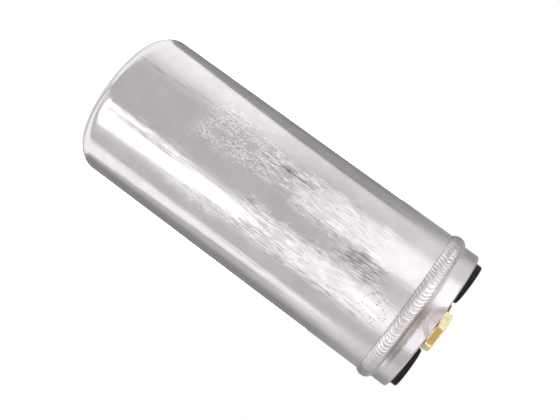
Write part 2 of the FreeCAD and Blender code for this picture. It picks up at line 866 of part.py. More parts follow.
def build_pieces():
    """Every sub-part of the drier, from the outside in."""
    inlet_x = -port_offset
    return [
        make_can_shell(),
        make_head(),
        make_weld_bead(),
        make_cap("inlet_cap", inlet_x, size["inlet_bore_radius"]),
        make_cap("outlet_cap", port_offset, size["outlet_bore_radius"]),
        make_fusible_plug(),
        make_fusible_alloy(),
        make_plug_seal(),
        make_glass_ring(),
        make_sight_glass(),
        make_ring_seal("sight_glass_seal", glass_bore_radius - seal_section, glass_seat_z + seal_section),
        make_pickup_tube(),
        make_ring_seal("tube_seal", size["tube_radius"] + seal_section, tube_seal_z),
        make_strainer_frame(),
        make_strainer_mesh(),
        make_bed_carrier(),
        make_bed_layer("bottom_felt", bottom_felt_z, size["felt_thickness"]),
        make_bed_layer("desiccant_bed", bed_z, size["bed_height"]),
        make_bed_layer("top_felt", top_felt_z, size["felt_thickness"]),
        make_top_plate(),
        make_bed_spring(),
    ]


def check_document():
    """Stop if any object of the document failed to build."""
    for item in document.Objects:
        if "Invalid" in item.State or "Error" in item.State:
            raise RuntimeError(f"{item.Name} failed to build: {item.State}")


def write_pieces(pieces):
    """Check each sub-part's shape and write it to its own file."""
    os.makedirs("parts", exist_ok=True)
    for piece in pieces:
        shape = piece.Shape
        if shape.isNull() or not shape.isValid():
            raise RuntimeError(f"{piece.Label} has no valid shape")
        shape.exportStep(f"parts/{piece.Label}.step")
        print(f"{piece.Label}: {len(shape.Solids)} solid, {shape.Volume:.0f} mm3, {len(shape.Faces)} faces")


pieces = build_pieces()
document.recompute()
check_document()
write_pieces(pieces)
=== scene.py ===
# %% [markdown]
# # Dressing a filter drier
#
# A filter drier is a small aluminium pressure vessel in a vehicle's air conditioner. A deep-drawn can holds a bed
# of drying beads, and a machined head with two ports is welded on top of it. This lesson loads the plain model of
# the part, replaces its visible surfaces by finer ones, and gives each metal, plastic and rubber its own finish.

# %% Load the plain model
import math

import bmesh
import bpy
from mathutils import Matrix, Vector


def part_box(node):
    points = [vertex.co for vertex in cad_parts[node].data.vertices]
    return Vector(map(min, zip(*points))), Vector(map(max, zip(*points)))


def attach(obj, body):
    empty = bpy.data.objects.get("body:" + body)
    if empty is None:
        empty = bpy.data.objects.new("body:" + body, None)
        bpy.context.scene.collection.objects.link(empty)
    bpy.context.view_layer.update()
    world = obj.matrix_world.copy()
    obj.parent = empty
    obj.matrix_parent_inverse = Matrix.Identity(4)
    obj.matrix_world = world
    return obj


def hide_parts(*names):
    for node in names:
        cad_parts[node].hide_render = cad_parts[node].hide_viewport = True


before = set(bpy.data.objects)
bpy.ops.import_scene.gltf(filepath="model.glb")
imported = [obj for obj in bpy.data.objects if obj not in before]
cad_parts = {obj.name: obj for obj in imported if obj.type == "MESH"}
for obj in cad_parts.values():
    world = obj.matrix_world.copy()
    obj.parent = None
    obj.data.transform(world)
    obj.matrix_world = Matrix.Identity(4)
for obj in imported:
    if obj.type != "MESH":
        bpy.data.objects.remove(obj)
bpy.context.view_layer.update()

MM = 0.001

# %% [markdown]
# ## Measuring the plain model
#
# The plain model is the truth about size. The main radii and heights are taken from the boxes of the parts, in
# millimetres, so the main pieces land where the parts have them.

# %% Take the main sizes from the parts
def low_high(node):
    """The lowest and highest corner of a part, in millimetres."""
    low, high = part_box(node)
    return low / MM, high / MM


CAN_RADIUS = low_high("can_shell")[1].x
SHOULDER_Z = low_high("can_shell")[1].z
HEAD_RADIUS = low_high("head")[1].x
FACE_Z = low_high("head")[1].z
SPIGOT_Z = low_high("head")[0].z
CAP_LOW, CAP_HIGH = low_high("outlet_cap")
PORT_X = (CAP_LOW.x + CAP_HIGH.x) / 2
CAP_RADIUS = (CAP_HIGH.x - CAP_LOW.x) / 2
CAP_HEIGHT = CAP_HIGH.z - FACE_Z
PLUG_LOW, PLUG_HIGH = low_high("fusible_plug")
PLUG_X = (PLUG_LOW.x + PLUG_HIGH.x) / 2
PLUG_Y = (PLUG_LOW.y + PLUG_HIGH.y) / 2
PLUG_SEAT_Z = low_high("plug_seal")[1].z
print(f"can radius {CAN_RADIUS:.1f}, shoulder at {SHOULDER_Z:.1f}, face at {FACE_Z:.1f}, ports at {PORT_X:.1f}")

# %% [markdown]
# ## The camera
#
# The part stands on its closed end, but the photograph shows it lying across the picture with the head towards
# the lower right corner. Turning the camera about its own line of sight gives that picture without laying the part
# down.

# %% Place the camera
# Lens, sensor, reach and height are in millimetres, the angles in degrees.
CAMERA_LENS = 58.28
CAMERA_SENSOR = 36.0
CAMERA_REACH = 340.47
CAMERA_HEIGHT = 121.66
CAMERA_TURN = 1.6
CAMERA_TILT = 7.93
CAMERA_ROLL = 126.34

camera_data = bpy.data.cameras.new("product_camera")
camera_data.lens = CAMERA_LENS
camera_data.sensor_width = CAMERA_SENSOR
camera_data.sensor_fit = "HORIZONTAL"
camera = bpy.data.objects.new("product_camera", camera_data)
bpy.context.scene.collection.objects.link(camera)
around = Matrix.Rotation(math.radians(CAMERA_TURN), 4, "Z")
lean = Matrix.Rotation(math.radians(90 - CAMERA_TILT), 4, "X")
roll = Matrix.Rotation(math.radians(CAMERA_ROLL), 4, "Z")
stand = Matrix.Translation(Vector((0, -CAMERA_REACH, CAMERA_HEIGHT)) * MM)
camera.matrix_world = around @ stand @ lean @ roll
bpy.context.scene.camera = camera
print("camera stands at", [round(value, 4) for value in camera.matrix_world.translation])

# %% [markdown]
# ## Numbers that flow through nodes
#
# Finishes, lights and the weld are all built from node trees. A small wrapper round a socket lets a formula be
# written as a formula: each sum, product or sine becomes a Math node behind the scenes.

# %% Write formulas as nodes
def feed(socket, item):
    """Give a socket a plain value, or link another socket to it."""
    if isinstance(item, Value):
        item.tree.links.new(item.socket, socket)
    elif item is not None:
        socket.default_value = item


class Value:
    """A socket of a node tree that can be used like a number."""

    def __init__(self, tree, socket):
        self.tree = tree
        self.socket = socket

    def by(self, operation, *others):
        """The outcome of a Math node that takes this value and the others."""
        node = self.tree.nodes.new("ShaderNodeMath")
        node.operation = operation
        for socket, item in zip(node.inputs, (self, *others)):
            feed(socket, item)
        return Value(self.tree, node.outputs[0])

    def __add__(self, other):
        return self.by("ADD", other)

    def __sub__(self, other):
        return self.by("SUBTRACT", other)

    def __mul__(self, other):
        return self.by("MULTIPLY", other)

    def __truediv__(self, other):
        return self.by("DIVIDE", other)

    def flipped(self):
        """One minus this value."""
        return self * -1.0 + 1.0

    def steps(self, start, end, low=0.0, high=1.0):
        """Rise softly from low to high while this value goes from start to end."""
        node = self.tree.nodes.new("ShaderNodeMapRange")
        node.interpolation_type = "SMOOTHSTEP"
        for socket, item in zip(node.inputs, (self, start, end, low, high)):
            feed(socket, item)
        return Value(self.tree, node.outputs[0])


def add_node(tree, kind, inputs=(), **settings):
    """Add a node, set its properties and feed its inputs by name."""
    node = tree.nodes.new(kind)
    for name, value in settings.items():
        setattr(node, name, value)
    for name, item in dict(inputs).items():
        feed(node.inputs[name], item)
    return node


def node_value(tree, kind, inputs=(), output=0, **settings):
    """Add a node and give back one of its outputs."""
    return Value(tree, add_node(tree, kind, inputs, **settings).outputs[output])


def split(vector):
    """The three parts of a vector."""
    node = add_node(vector.tree, "ShaderNodeSeparateXYZ", {"Vector": vector})
    return [Value(vector.tree, socket) for socket in node.outputs]


DEGREES = 180 / math.pi


def angle_from_front(x, y):
    """The angle round the axis in degrees, 0 at the -Y side and rising towards +X."""
    return x.by("ARCTAN2", y * -1.0) * DEGREES


def joined(x, y, z):
    """A vector from three parts."""
    return node_value(x.tree, "ShaderNodeCombineXYZ", {"X": x, "Y": y, "Z": z})


def noise(vector, scale, detail=2.0, roughness=0.5):
    """Cloudy noise between about 0.25 and 0.75."""
    inputs = {"Vector": vector, "Scale": scale, "Detail": detail, "Roughness": roughness}
    return node_value(vector.tree, "ShaderNodeTexNoise", inputs, "Fac")


print("formula helpers are ready")

# %% [markdown]
# ## Turned shapes
#
# The can, the head, the caps and the ring are all turned shapes: one outline of radii and heights spun round the
# axis. Real edges are never perfectly sharp, so each corner of an outline may carry a small radius, which is what
# catches the light along an edge.

# %% Spin an outline into a closed shape
def rounded(outline, steps):
    """Replace each corner that carries a radius by a short arc. A corner is (radius, height, rounding)."""
    points = []
    count = len(outline)
    for index, (x, y, rounding) in enumerate(outline):
        here = Vector((x, y))
        if rounding <= 0:
            points.append(here)
            continue
        before = Vector(outline[index - 1][:2]) - here
        after = Vector(outline[(index + 1) % count][:2]) - here
        before.normalize()
        after.normalize()
        half = before.angle(after) / 2
        reach = rounding / math.tan(half)
        middle = here + (before + after).normalized() * (rounding / math.sin(half))
        start = here + before * reach - middle
        end = here + after * reach - middle
        sweep = start.angle_signed(end)
        for step in range(steps + 1):
            turn = Matrix.Rotation(-sweep * step / steps, 2)
            points.append(middle + turn @ start)
    return points


def new_piece(name, mesh):
    """Put a mesh in the scene as a piece that rides on the part."""
    piece = bpy.data.objects.new(name, mesh)
    bpy.context.scene.collection.objects.link(piece)
    return piece


ON_AXIS = 1e-6


def turned_mesh(name, outline, segments=192, crease=35.0, arc_steps=6):
    """Spin a closed outline, given in millimetres, round the Z axis."""
    points = rounded(outline, arc_steps)
    shape = bmesh.new()
    rings = []
    for point in points:
        if point.x < ON_AXIS:
            rings.append([shape.verts.new((0, 0, point.y * MM))])
            continue
        ring = []
        for step in range(segments):
            angle = 2 * math.pi * step / segments
            reach = point.x * MM
            ring.append(shape.verts.new((reach * math.cos(angle), reach * math.sin(angle), point.y * MM)))
        rings.append(ring)
    for ring, following in zip(rings, rings[1:] + rings[:1]):
        if len(ring) == 1 and len(following) == 1:
            continue
        for step in range(segments):
            corners = [ring[step % len(ring)], ring[(step + 1) % len(ring)],
                       following[(step + 1) % len(following)], following[step % len(following)]]
            shape.faces.new(list(dict.fromkeys(corners)))
    bmesh.ops.recalc_face_normals(shape, faces=shape.faces)
    mesh = bpy.data.meshes.new(name)
    shape.to_mesh(mesh)
    shape.free()
    mesh.shade_smooth()
    mesh.set_sharp_from_angle(angle=math.radians(crease))
    return mesh


def moved_mesh(mesh, x=0.0, y=0.0, z=0.0, turn=0.0):
    """Carry a mesh to its place, given in millimetres and degrees."""
    mesh.transform(Matrix.Translation(Vector((x, y, z)) * MM) @ Matrix.Rotation(math.radians(turn), 4, "Z"))
    return mesh


print("turning helpers are ready")

# %% [markdown]
# ## The can
#
# The can is deep drawn: a disc of aluminium is punched into a cup, which gives it a rounded corner at the closed
# end, a slightly dished bottom to stand on its rim, and fine lines along the wall. The wall ends under the weld.

# %% Make the can
WALL = 2.0
CAN_CORNER = 6.0
DISH_RADIUS = 17.0
DISH_HEIGHT = 0.6
DISH_RUN = 2.4
DISH_BEND = 3.0
RIM_BEND = 2.0
ROOT_RADIUS = 28.6
WELD_HALF = 3.4
# A short ring beside each corner keeps the smooth shading of the long wall from leaning over.
HOLD = 0.3


def make_can():
    bore = CAN_RADIUS - WALL
    rim = DISH_RADIUS + DISH_RUN
    outline = [
        (0, DISH_HEIGHT, 0),
        (DISH_RADIUS, DISH_HEIGHT, DISH_BEND),
        (rim, 0, RIM_BEND),
        (CAN_RADIUS, 0, CAN_CORNER),
        (CAN_RADIUS, CAN_CORNER + HOLD, 0),
        (CAN_RADIUS, SHOULDER_Z - WELD_HALF - HOLD, 0),
        (CAN_RADIUS, SHOULDER_Z - WELD_HALF, 0),
        (ROOT_RADIUS, SHOULDER_Z, 0),
        (bore, SHOULDER_Z, 0),
        (bore, WALL, CAN_CORNER - WALL),
        (rim, WALL, RIM_BEND),
        (DISH_RADIUS, WALL + DISH_HEIGHT, DISH_BEND),
        (0, WALL + DISH_HEIGHT, 0),
    ]
    mesh = turned_mesh("can_wall", outline, segments=256, crease=20.0, arc_steps=14)
    return new_piece("can_wall", mesh)


can = make_can()
print("can:", len(can.data.polygons), "faces")

# %% [markdown]
# ## The head
#
# The head is turned from bar and then drilled: two ports with bevelled mouths, the plug's hole, two bolt holes for
# the pipe blocks, and a ball-shaped scallop in its rim below the plug. The blank is spun, and each hole is cut with
# a Boolean, as a drill or a ball cutter would do it.

# %% Turn the blank of the head
HEAD_CORNER = 1.0
SPIGOT_GAP = 0.1
SPIGOT_BEVEL = 1.0
GLASS_SEAT_RADIUS = 7.3
GLASS_SEAT_Z = 135.2
WINDOW_RADIUS = 4.4
TUBE_BORE_RADIUS = 4.75
TUBE_BORE_LOWER, TUBE_BORE_UPPER = 129.7, 130.7
GROOVE_RADIUS = 6.35
GROOVE_Z = 127.9


def middle_bore():
    """The bore down the middle: the glass's seat, its window, then the tube's bore with the groove of its seal."""
    steps = ((GLASS_SEAT_RADIUS, FACE_Z, GLASS_SEAT_Z), (WINDOW_RADIUS, GLASS_SEAT_Z, TUBE_BORE_UPPER),
             (TUBE_BORE_RADIUS, TUBE_BORE_UPPER, TUBE_BORE_LOWER), (GROOVE_RADIUS, TUBE_BORE_LOWER, GROOVE_Z),
             (TUBE_BORE_RADIUS, GROOVE_Z, SPIGOT_Z))
    return [(radius, height, 0) for radius, top, foot in steps for height in (top, foot)]


def make_head_blank():
    spigot = CAN_RADIUS - WALL - SPIGOT_GAP
    outline = middle_bore() + [
        (spigot - SPIGOT_BEVEL, SPIGOT_Z, 0),
        (spigot, SPIGOT_Z + SPIGOT_BEVEL, 0),
        (spigot, SHOULDER_Z, 0),
        (ROOT_RADIUS, SHOULDER_Z, 0),
        (HEAD_RADIUS, SHOULDER_Z + WELD_HALF, 0),
        (HEAD_RADIUS, SHOULDER_Z + WELD_HALF + HOLD, 0),
        (HEAD_RADIUS, FACE_Z - HEAD_CORNER - HOLD, 0),
        (HEAD_RADIUS, FACE_Z, HEAD_CORNER),
    ]
    return new_piece("drier_head", turned_mesh("drier_head", outline, segments=256, arc_steps=10))


head = make_head_blank()
print("blank:", len(head.data.polygons), "faces")

# %% Shape the cutters
DRILL_OVERRUN = 1.0


def hole_cutter(name, radius, top, depth, bevel=0.0):
    """A drill with a countersink of its own at the top."""
    above = top + DRILL_OVERRUN
    outline = [(0, top - depth, 0), (radius, top - depth, 0), (radius, top - bevel, 0),
               (radius + bevel + DRILL_OVERRUN, above, 0), (0, above, 0)]
    if bevel == 0:
        outline[2:4] = [(radius, above, 0)]
    return turned_mesh(name, outline, segments=96)


SCALLOP_Z = FACE_Z + 3.1
SCALLOP_RADIUS = 7.3


def scallop_cutter():
    """A ball cutter whose lip opens out, lying along the -Y axis."""
    ball, standoff, lip_radius, lip_depth = 9.0, 5.6, SCALLOP_RADIUS, 0.6
    reach = standoff + lip_depth
    inner = math.sqrt(ball * ball - reach * reach)
    slope = (lip_radius - inner) / lip_depth
    start = math.asin(inner / ball)
    steps = 24
    outline = [(ball * math.sin(start * step / steps), ball * math.cos(start * step / steps), 0)
               for step in range(steps)]
    outline += [(inner, reach, 0.25), (inner + slope * reach, 0, 0), (0, 0, 0)]
    mesh = turned_mesh("scallop_cutter", outline, segments=160)
    mesh.transform(Matrix.Rotation(math.radians(-90), 4, "X"))
    return moved_mesh(mesh, y=-(HEAD_RADIUS + standoff), z=SCALLOP_Z)


print("cutters are ready")

# %% Cut one shape out of another
def bake_modifiers(piece):
    """Turn a piece with modifiers into a plain mesh."""
    graph = bpy.context.evaluated_depsgraph_get()
    finished = bpy.data.meshes.new_from_object(piece.evaluated_get(graph))
    piece.modifiers.clear()
    piece.data = finished


def combine(piece, mesh, operation):
    """Cut a mesh out of a piece, unite the two, or keep only what both share."""
    tool = new_piece("cutter", mesh)
    boolean = piece.modifiers.new(operation.lower(), "BOOLEAN")
    boolean.operation = operation
    boolean.solver = "EXACT"
    boolean.object = tool
    bake_modifiers(piece)
    bpy.data.objects.remove(tool)
    bpy.data.meshes.remove(mesh)


def cut(piece, meshes):
    """Cut each mesh out of a piece."""
    for mesh in meshes:
        combine(piece, mesh, "DIFFERENCE")


def tidy_corners(piece, distance=0.004):
    """Merge the corners that a Boolean left in nearly one place, drop faces that lie back to back, and fill the
    tiny gaps that they leave, so that the skin is closed. The distance is in millimetres."""
    shape = bmesh.new()
    shape.from_mesh(piece.data)
    bmesh.ops.remove_doubles(shape, verts=shape.verts, dist=distance * MM)
    bmesh.ops.dissolve_degenerate(shape, edges=shape.edges, dist=distance * MM)
    bmesh.ops.triangulate(shape, faces=shape.faces)
    layers = {}
    for face in shape.faces:
        layers.setdefault(frozenset(face.verts), []).append(face)
    doubled = [face for faces in layers.values() if len(faces) > 1 for face in faces]
    bmesh.ops.delete(shape, geom=doubled, context="FACES_ONLY")
    rims = [edge for edge in shape.edges if edge.is_boundary]
    bmesh.ops.holes_fill(shape, edges=rims, sides=0)
    shape.to_mesh(piece.data)
    shape.free()


print("cutting helpers are ready")

# %% Drill the head
INLET_RADIUS, OUTLET_RADIUS, OUTLET_DEPTH, PORT_BEVEL = 6.2, 5.4, 13.5, 0.8
PLUG_HOLE_RADIUS = 4.7
BOLT_X, BOLT_Y, BOLT_RADIUS, BOLT_DEPTH, BOLT_BEVEL = 12.5, 17.0, 2.5, 9.0, 0.4
PASSAGE_RADIUS = 1.7
PASSAGE_Z = FACE_Z - 11.5

through = FACE_Z - SPIGOT_Z + DRILL_OVERRUN
inlet = hole_cutter("inlet", INLET_RADIUS, FACE_Z, through, PORT_BEVEL)
outlet = hole_cutter("outlet", OUTLET_RADIUS, FACE_Z, OUTLET_DEPTH, PORT_BEVEL)
plug_hole = hole_cutter("plug_hole", PLUG_HOLE_RADIUS, FACE_Z, through)
bolt_holes = [hole_cutter("bolt_hole", BOLT_RADIUS, FACE_Z, BOLT_DEPTH, BOLT_BEVEL) for _ in range(2)]
passage = hole_cutter("passage", PASSAGE_RADIUS, 0, PORT_X)
passage.transform(Matrix.Rotation(math.radians(-90), 4, "Y"))
cut(head, [
    scallop_cutter(),
    moved_mesh(inlet, x=-PORT_X),
    moved_mesh(outlet, x=PORT_X),
    moved_mesh(plug_hole, x=PLUG_X, y=PLUG_Y),
    moved_mesh(bolt_holes[0], x=-BOLT_X, y=BOLT_Y),
    moved_mesh(bolt_holes[1], x=BOLT_X, y=BOLT_Y),
    moved_mesh(passage, z=PASSAGE_Z),
])
tidy_corners(head)
head.data.shade_smooth()
head.data.set_sharp_from_angle(angle=math.radians(28))
print("head:", len(head.data.polygons), "faces")

# %% [markdown]
# ## The weld bead
#
# The seam between can and head is welded by hand with a filler rod. Each dip of the rod freezes as a small crescent
# on top of the last, which is why such a bead is called a stack of coins. Its shape follows a rule, so Geometry
# Nodes make it: a sheet of points is rolled into a closed ring, and each point is lifted by where it lies in its
# own ripple. The middle of a ripple runs ahead of its two ends, and slow noise keeps the hand-made unevenness.

# %% Start, end and run a geometry tree
SOCKET_KINDS = {"Ripples": "NodeSocketInt", "Material": "NodeSocketMaterial"}


def new_tree(name, inputs):
    """A geometry tree with named inputs. Each is a plain number unless its kind is listed."""
    tree = bpy.data.node_groups.new(name, "GeometryNodeTree")
    tree.interface.new_socket("Geometry", in_out="OUTPUT", socket_type="NodeSocketGeometry")
    for label in inputs:
        kind = SOCKET_KINDS.get(label, "NodeSocketFloat")
        tree.interface.new_socket(label, in_out="INPUT", socket_type=kind)
    entry = tree.nodes.new("NodeGroupInput")
    return tree, {label: Value(tree, entry.outputs[label]) for label in inputs}


def finish_tree(tree, geometry, material):
    """End a tree as the export needs it: real geometry with its material set."""
    smooth = node_value(tree, "GeometryNodeSetShadeSmooth", {"Geometry": geometry})
    real = node_value(tree, "GeometryNodeRealizeInstances", {"Geometry": smooth})
    painted = node_value(tree, "GeometryNodeSetMaterial", {"Geometry": real, "Material": material})
    feed(tree.nodes.new("NodeGroupOutput").inputs[0], painted)


def grown(name, tree, inputs):
    """Run a tree on an empty mesh and keep the result as a plain mesh."""
    piece = new_piece(name, bpy.data.meshes.new(name))
    modifier = piece.modifiers.new("grow", "NODES")
    modifier.node_group = tree
    sockets = {item.name: item.identifier for item in tree.interface.items_tree if item.in_out == "INPUT"}
    for label, value in inputs.items():
        modifier[sockets[label]] = value
    bake_modifiers(piece)
    return piece


print("tree helpers are ready")

# %% Set the bead's sizes
BEAD_GAP = 0.02
BEAD_INPUTS = {
    "Can radius": (CAN_RADIUS + BEAD_GAP) * MM,
    "Head radius": (HEAD_RADIUS + BEAD_GAP) * MM,
    "Root radius": (ROOT_RADIUS + BEAD_GAP) * MM,
    "Middle height": SHOULDER_Z * MM,
    "Half width": WELD_HALF * MM,
    "Crown": 1.56 * MM,
    "Ripples": 124,
    "Ripple height": 0.34 * MM,
    "Lead": 1.75 * MM,
    "Unevenness": 0.16 * MM,
    "Head side share": 0.86,
    "Ripple reach": 0.68,
    "Seed": 4.0,
    "Material": None,
}
# The sheet has this many points along each ripple and this many rows across, and this share of its rows makes the
# crown that is seen. The rest close the ring under it, down to a foot that is a share of the crown's width.
BEAD_STEPS = 12
BEAD_ROWS = 44
CROWN_SHARE = 0.84
FOOT_SHARE = 0.95
print("bead:", BEAD_INPUTS["Ripples"], "ripples")

# %% Lift the ripples
# A ripple rises over most of its length and falls off quickly at its end.
RIPPLE_TOP, RIPPLE_EDGE = 0.72, 0.78
SLOW_SCALE, QUICK_SCALE = 2.2, 26.0
SLOW_WANDER, QUICK_WANDER = 4.0, 0.55


def lift_ripples():
    tree, inputs = new_tree("stacked_bead", BEAD_INPUTS)
    around_count = inputs["Ripples"] * BEAD_STEPS + 1
    sheet = node_value(tree, "GeometryNodeMeshGrid", {
        "Size X": 1.0, "Size Y": 1.0, "Vertices X": around_count, "Vertices Y": BEAD_ROWS + 1})
    along, across, _ = split(node_value(tree, "GeometryNodeInputPosition"))
    turn = (along + 0.5) * (2 * math.pi)
    share = across + 0.5
    side = (share / CROWN_SHARE).by("MINIMUM", 1.0) * 2.0 - 1.0
    dome = (side * side).flipped()
    ring = joined(turn.by("COSINE"), turn.by("SINE"), inputs["Seed"])
    slow = noise(ring, SLOW_SCALE, 1.0) - 0.5
    quick = noise(ring, QUICK_SCALE, 1.0) - 0.5
    reach = side.by("MAXIMUM", 0.0) / inputs["Ripple reach"] - side.by("MINIMUM", 0.0)
    arch = (reach * reach).flipped().by("MAXIMUM", 0.0)
    lead = inputs["Lead"] / inputs["Can radius"]
    beat = (turn - arch * lead) * inputs["Ripples"] / (2 * math.pi) + quick * QUICK_WANDER + slow * SLOW_WANDER
    phase = beat.by("FRACT")
    number = beat.by("FLOOR").by("FLOORED_MODULO", inputs["Ripples"])
    which = joined(number, inputs["Seed"], 0.0)
    chance = node_value(tree, "ShaderNodeTexWhiteNoise", {"Vector": which}, "Value")
    crest = phase.steps(0.0, RIPPLE_TOP) * phase.steps(RIPPLE_EDGE, 1.0, 1.0, 0.0)
    edge = arch.by("POWER", 0.35)
    calm = turn.by("SINE").by("ABSOLUTE").steps(0.42, 0.78, 0.25, 1.0)
    lift = inputs["Ripple height"] * crest * edge * calm * (chance * 0.5 + 0.5)
    crown = inputs["Crown"] * dome.by("POWER", 0.86) * (chance * 0.05 + 0.95)
    base = inputs["Can radius"] + (inputs["Head radius"] - inputs["Can radius"]) * (side * 0.5 + 0.5)
    top_radius = base + crown + lift
    swell = inputs["Half width"] * (crest * dome * (1.0 - FOOT_SHARE) + FOOT_SHARE)
    narrowing = side.by("GREATER_THAN", 0.0) * (inputs["Head side share"] - 1.0) + 1.0
    top_height = inputs["Middle height"] + side * swell * narrowing + inputs["Unevenness"] * slow * 4.0 * dome
    marked = node_value(tree, "GeometryNodeStoreNamedAttribute", {
        "Geometry": sheet, "Name": "crest", "Value": crest * edge}, data_type="FLOAT", domain="POINT")
    return tree, inputs, marked, turn, share, top_radius, top_height


print("ripple maths is ready")

# %% Roll and close the bead
def make_bead_tree():
    tree, inputs, sheet, turn, share, top_radius, top_height = lift_ripples()
    under = (share - CROWN_SHARE) / (1.0 - CROWN_SHARE)
    under = under.by("MAXIMUM", 0.0)
    first = (under * 2.0).by("MINIMUM", 1.0)
    second = (under * 2.0 - 1.0).by("MAXIMUM", 0.0)
    foot = inputs["Half width"] * FOOT_SHARE
    low_radius = (inputs["Head radius"] + (inputs["Root radius"] - inputs["Head radius"]) * first
                  + (inputs["Can radius"] - inputs["Root radius"]) * second)
    low_height = inputs["Middle height"] + foot * (first.flipped() * inputs["Head side share"] - second)
    below = under.by("GREATER_THAN", 1e-4)
    radius = top_radius * below.flipped() + low_radius * below
    height = top_height * below.flipped() + low_height * below
    spot = joined(radius * turn.by("COSINE"), radius * turn.by("SINE"), height)
    rolled = node_value(tree, "GeometryNodeSetPosition", {"Geometry": sheet, "Position": spot})
    sealed = node_value(tree, "GeometryNodeMergeByDistance", {"Geometry": rolled, "Distance": 1e-6})
    finish_tree(tree, sealed, inputs["Material"])
    return tree


bead_tree = make_bead_tree()
print("bead tree:", len(bead_tree.nodes), "nodes")

# %% [markdown]
# ## Caps, ring, glass and plug
#
# Small turned parts make the top of the drier. Two soft caps keep the ports clean until the drier is fitted, a
# screwed ring holds the sight glass, and a brass plug with a low-melting core guards the vessel. The hexagon is a
# straight bar whose corners are turned off, so it is made as the bar cut by a cone.

# %% Make the transport caps
CAP_EDGE = 0.7
CAP_RECESS_RIM, CAP_RECESS_DEPTH = 1.6, 0.9
CAP_SKIRT, CAP_SKIRT_WALL, CAP_SKIRT_TAPER = 7.5, 1.3, 0.4


def make_cap(name, x, bore_radius):
    """A flanged cap with a hollow skirt, and a moulding mark of two small steps in its top."""
    foot_radius = bore_radius - CAP_SKIRT_TAPER
    hollow = foot_radius - CAP_SKIRT_WALL
    recess = CAP_RADIUS - CAP_RECESS_RIM
    floor_z = CAP_HEIGHT - CAP_RECESS_DEPTH
    step_z = floor_z + 0.3
    knob_z = floor_z + 0.55
    outline = [
        (0, 0, 0), (hollow, 0, 0.3), (hollow, -CAP_SKIRT, 0.3), (foot_radius, -CAP_SKIRT, 0.4),
        (bore_radius, -PORT_BEVEL, 0.2), (bore_radius, 0, 0.0), (CAP_RADIUS, 0, CAP_EDGE),
        (CAP_RADIUS, CAP_HEIGHT, CAP_EDGE), (recess, CAP_HEIGHT, 0.25), (recess - 0.1, floor_z, 0.2),
        (1.9, floor_z, 0.1), (1.7, step_z, 0.1), (0.9, step_z, 0.1), (0.8, knob_z, 0.1), (0, knob_z, 0),
    ]
    return new_piece(name, moved_mesh(turned_mesh(name, outline, segments=128), x=x, z=FACE_Z))


inlet_cap = make_cap("inlet_transport_cap", -PORT_X, INLET_RADIUS)
outlet_cap = make_cap("outlet_transport_cap", PORT_X, OUTLET_RADIUS)
print("caps at", -PORT_X, "and", PORT_X)

# %% Make the sight glass and its ring
def block_mesh(name, low, high):
    """A plain block that is only used to cut with."""
    shape = bmesh.new()
    bmesh.ops.create_cube(shape, size=1.0)
    size = Vector(high) - Vector(low)
    middle = (Vector(high) + Vector(low)) / 2
    bmesh.ops.scale(shape, vec=size * MM, verts=shape.verts)
    bmesh.ops.translate(shape, vec=middle * MM, verts=shape.verts)
    mesh = bpy.data.meshes.new(name)
    shape.to_mesh(mesh)
    shape.free()
    return mesh


RING_RADIUS, RING_HEIGHT, RING_OPENING, RING_THREAD, RING_BEVEL = 9.4, 2.4, 5.4, 4.0, 0.7
SLOT_HALF, SLOT_INNER, SLOT_OUTER, SLOT_FLOOR, SLOT_TOP = 0.7, 6.0, 10.0, 1.5, 3.0

glass_ring = new_piece("glass_ring", moved_mesh(turned_mesh("glass_ring", [
    (RING_OPENING, -RING_THREAD, 0.2), (GLASS_SEAT_RADIUS, -RING_THREAD, 0.2), (GLASS_SEAT_RADIUS, 0, 0),
    (RING_RADIUS, 0, 0.15), (RING_RADIUS, RING_HEIGHT, RING_BEVEL), (RING_OPENING + RING_BEVEL, RING_HEIGHT, 0.15),
    (RING_OPENING, RING_HEIGHT - RING_BEVEL, 0.15),
], segments=160), z=FACE_Z))
for near, far in ((-SLOT_OUTER, -SLOT_INNER), (SLOT_INNER, SLOT_OUTER)):
    slot = block_mesh("slot", (-SLOT_HALF, near, FACE_Z + SLOT_FLOOR), (SLOT_HALF, far, FACE_Z + SLOT_TOP))
    cut(glass_ring, [slot])
glass_ring.data.shade_smooth()
glass_ring.data.set_sharp_from_angle(angle=math.radians(35))

GLASS_Z, GLASS_RADIUS, GLASS_THICKNESS, GLASS_EDGE = 136.8, 7.2, 3.6, 0.25
glass = new_piece("sight_glass_lens", moved_mesh(turned_mesh("sight_glass_lens", [
    (0, 0, 0), (GLASS_RADIUS, 0, GLASS_EDGE), (GLASS_RADIUS, GLASS_THICKNESS, GLASS_EDGE), (0, GLASS_THICKNESS, 0),
], segments=128), z=GLASS_Z))
print("ring:", len(glass_ring.data.polygons), "faces")

# %% Shape a hexagon bar
def hexagon_mesh(name, across_flats, low, high):
    """A straight hexagon bar."""
    shape = bmesh.new()
    corner = across_flats / math.sqrt(3)
    rings = [[shape.verts.new((corner * MM * math.cos(math.radians(60 * step)),
                               corner * MM * math.sin(math.radians(60 * step)), height * MM))
              for step in range(6)] for height in (low, high)]
    for step in range(6):
        following = (step + 1) % 6
        shape.faces.new((rings[0][step], rings[0][following], rings[1][following], rings[1][step]))
    shape.faces.new(rings[0])
    shape.faces.new(rings[1])
    bmesh.ops.recalc_face_normals(shape, faces=shape.faces)
    mesh = bpy.data.meshes.new(name)
    shape.to_mesh(mesh)
    shape.free()
    return mesh


print("hexagon helper is ready")

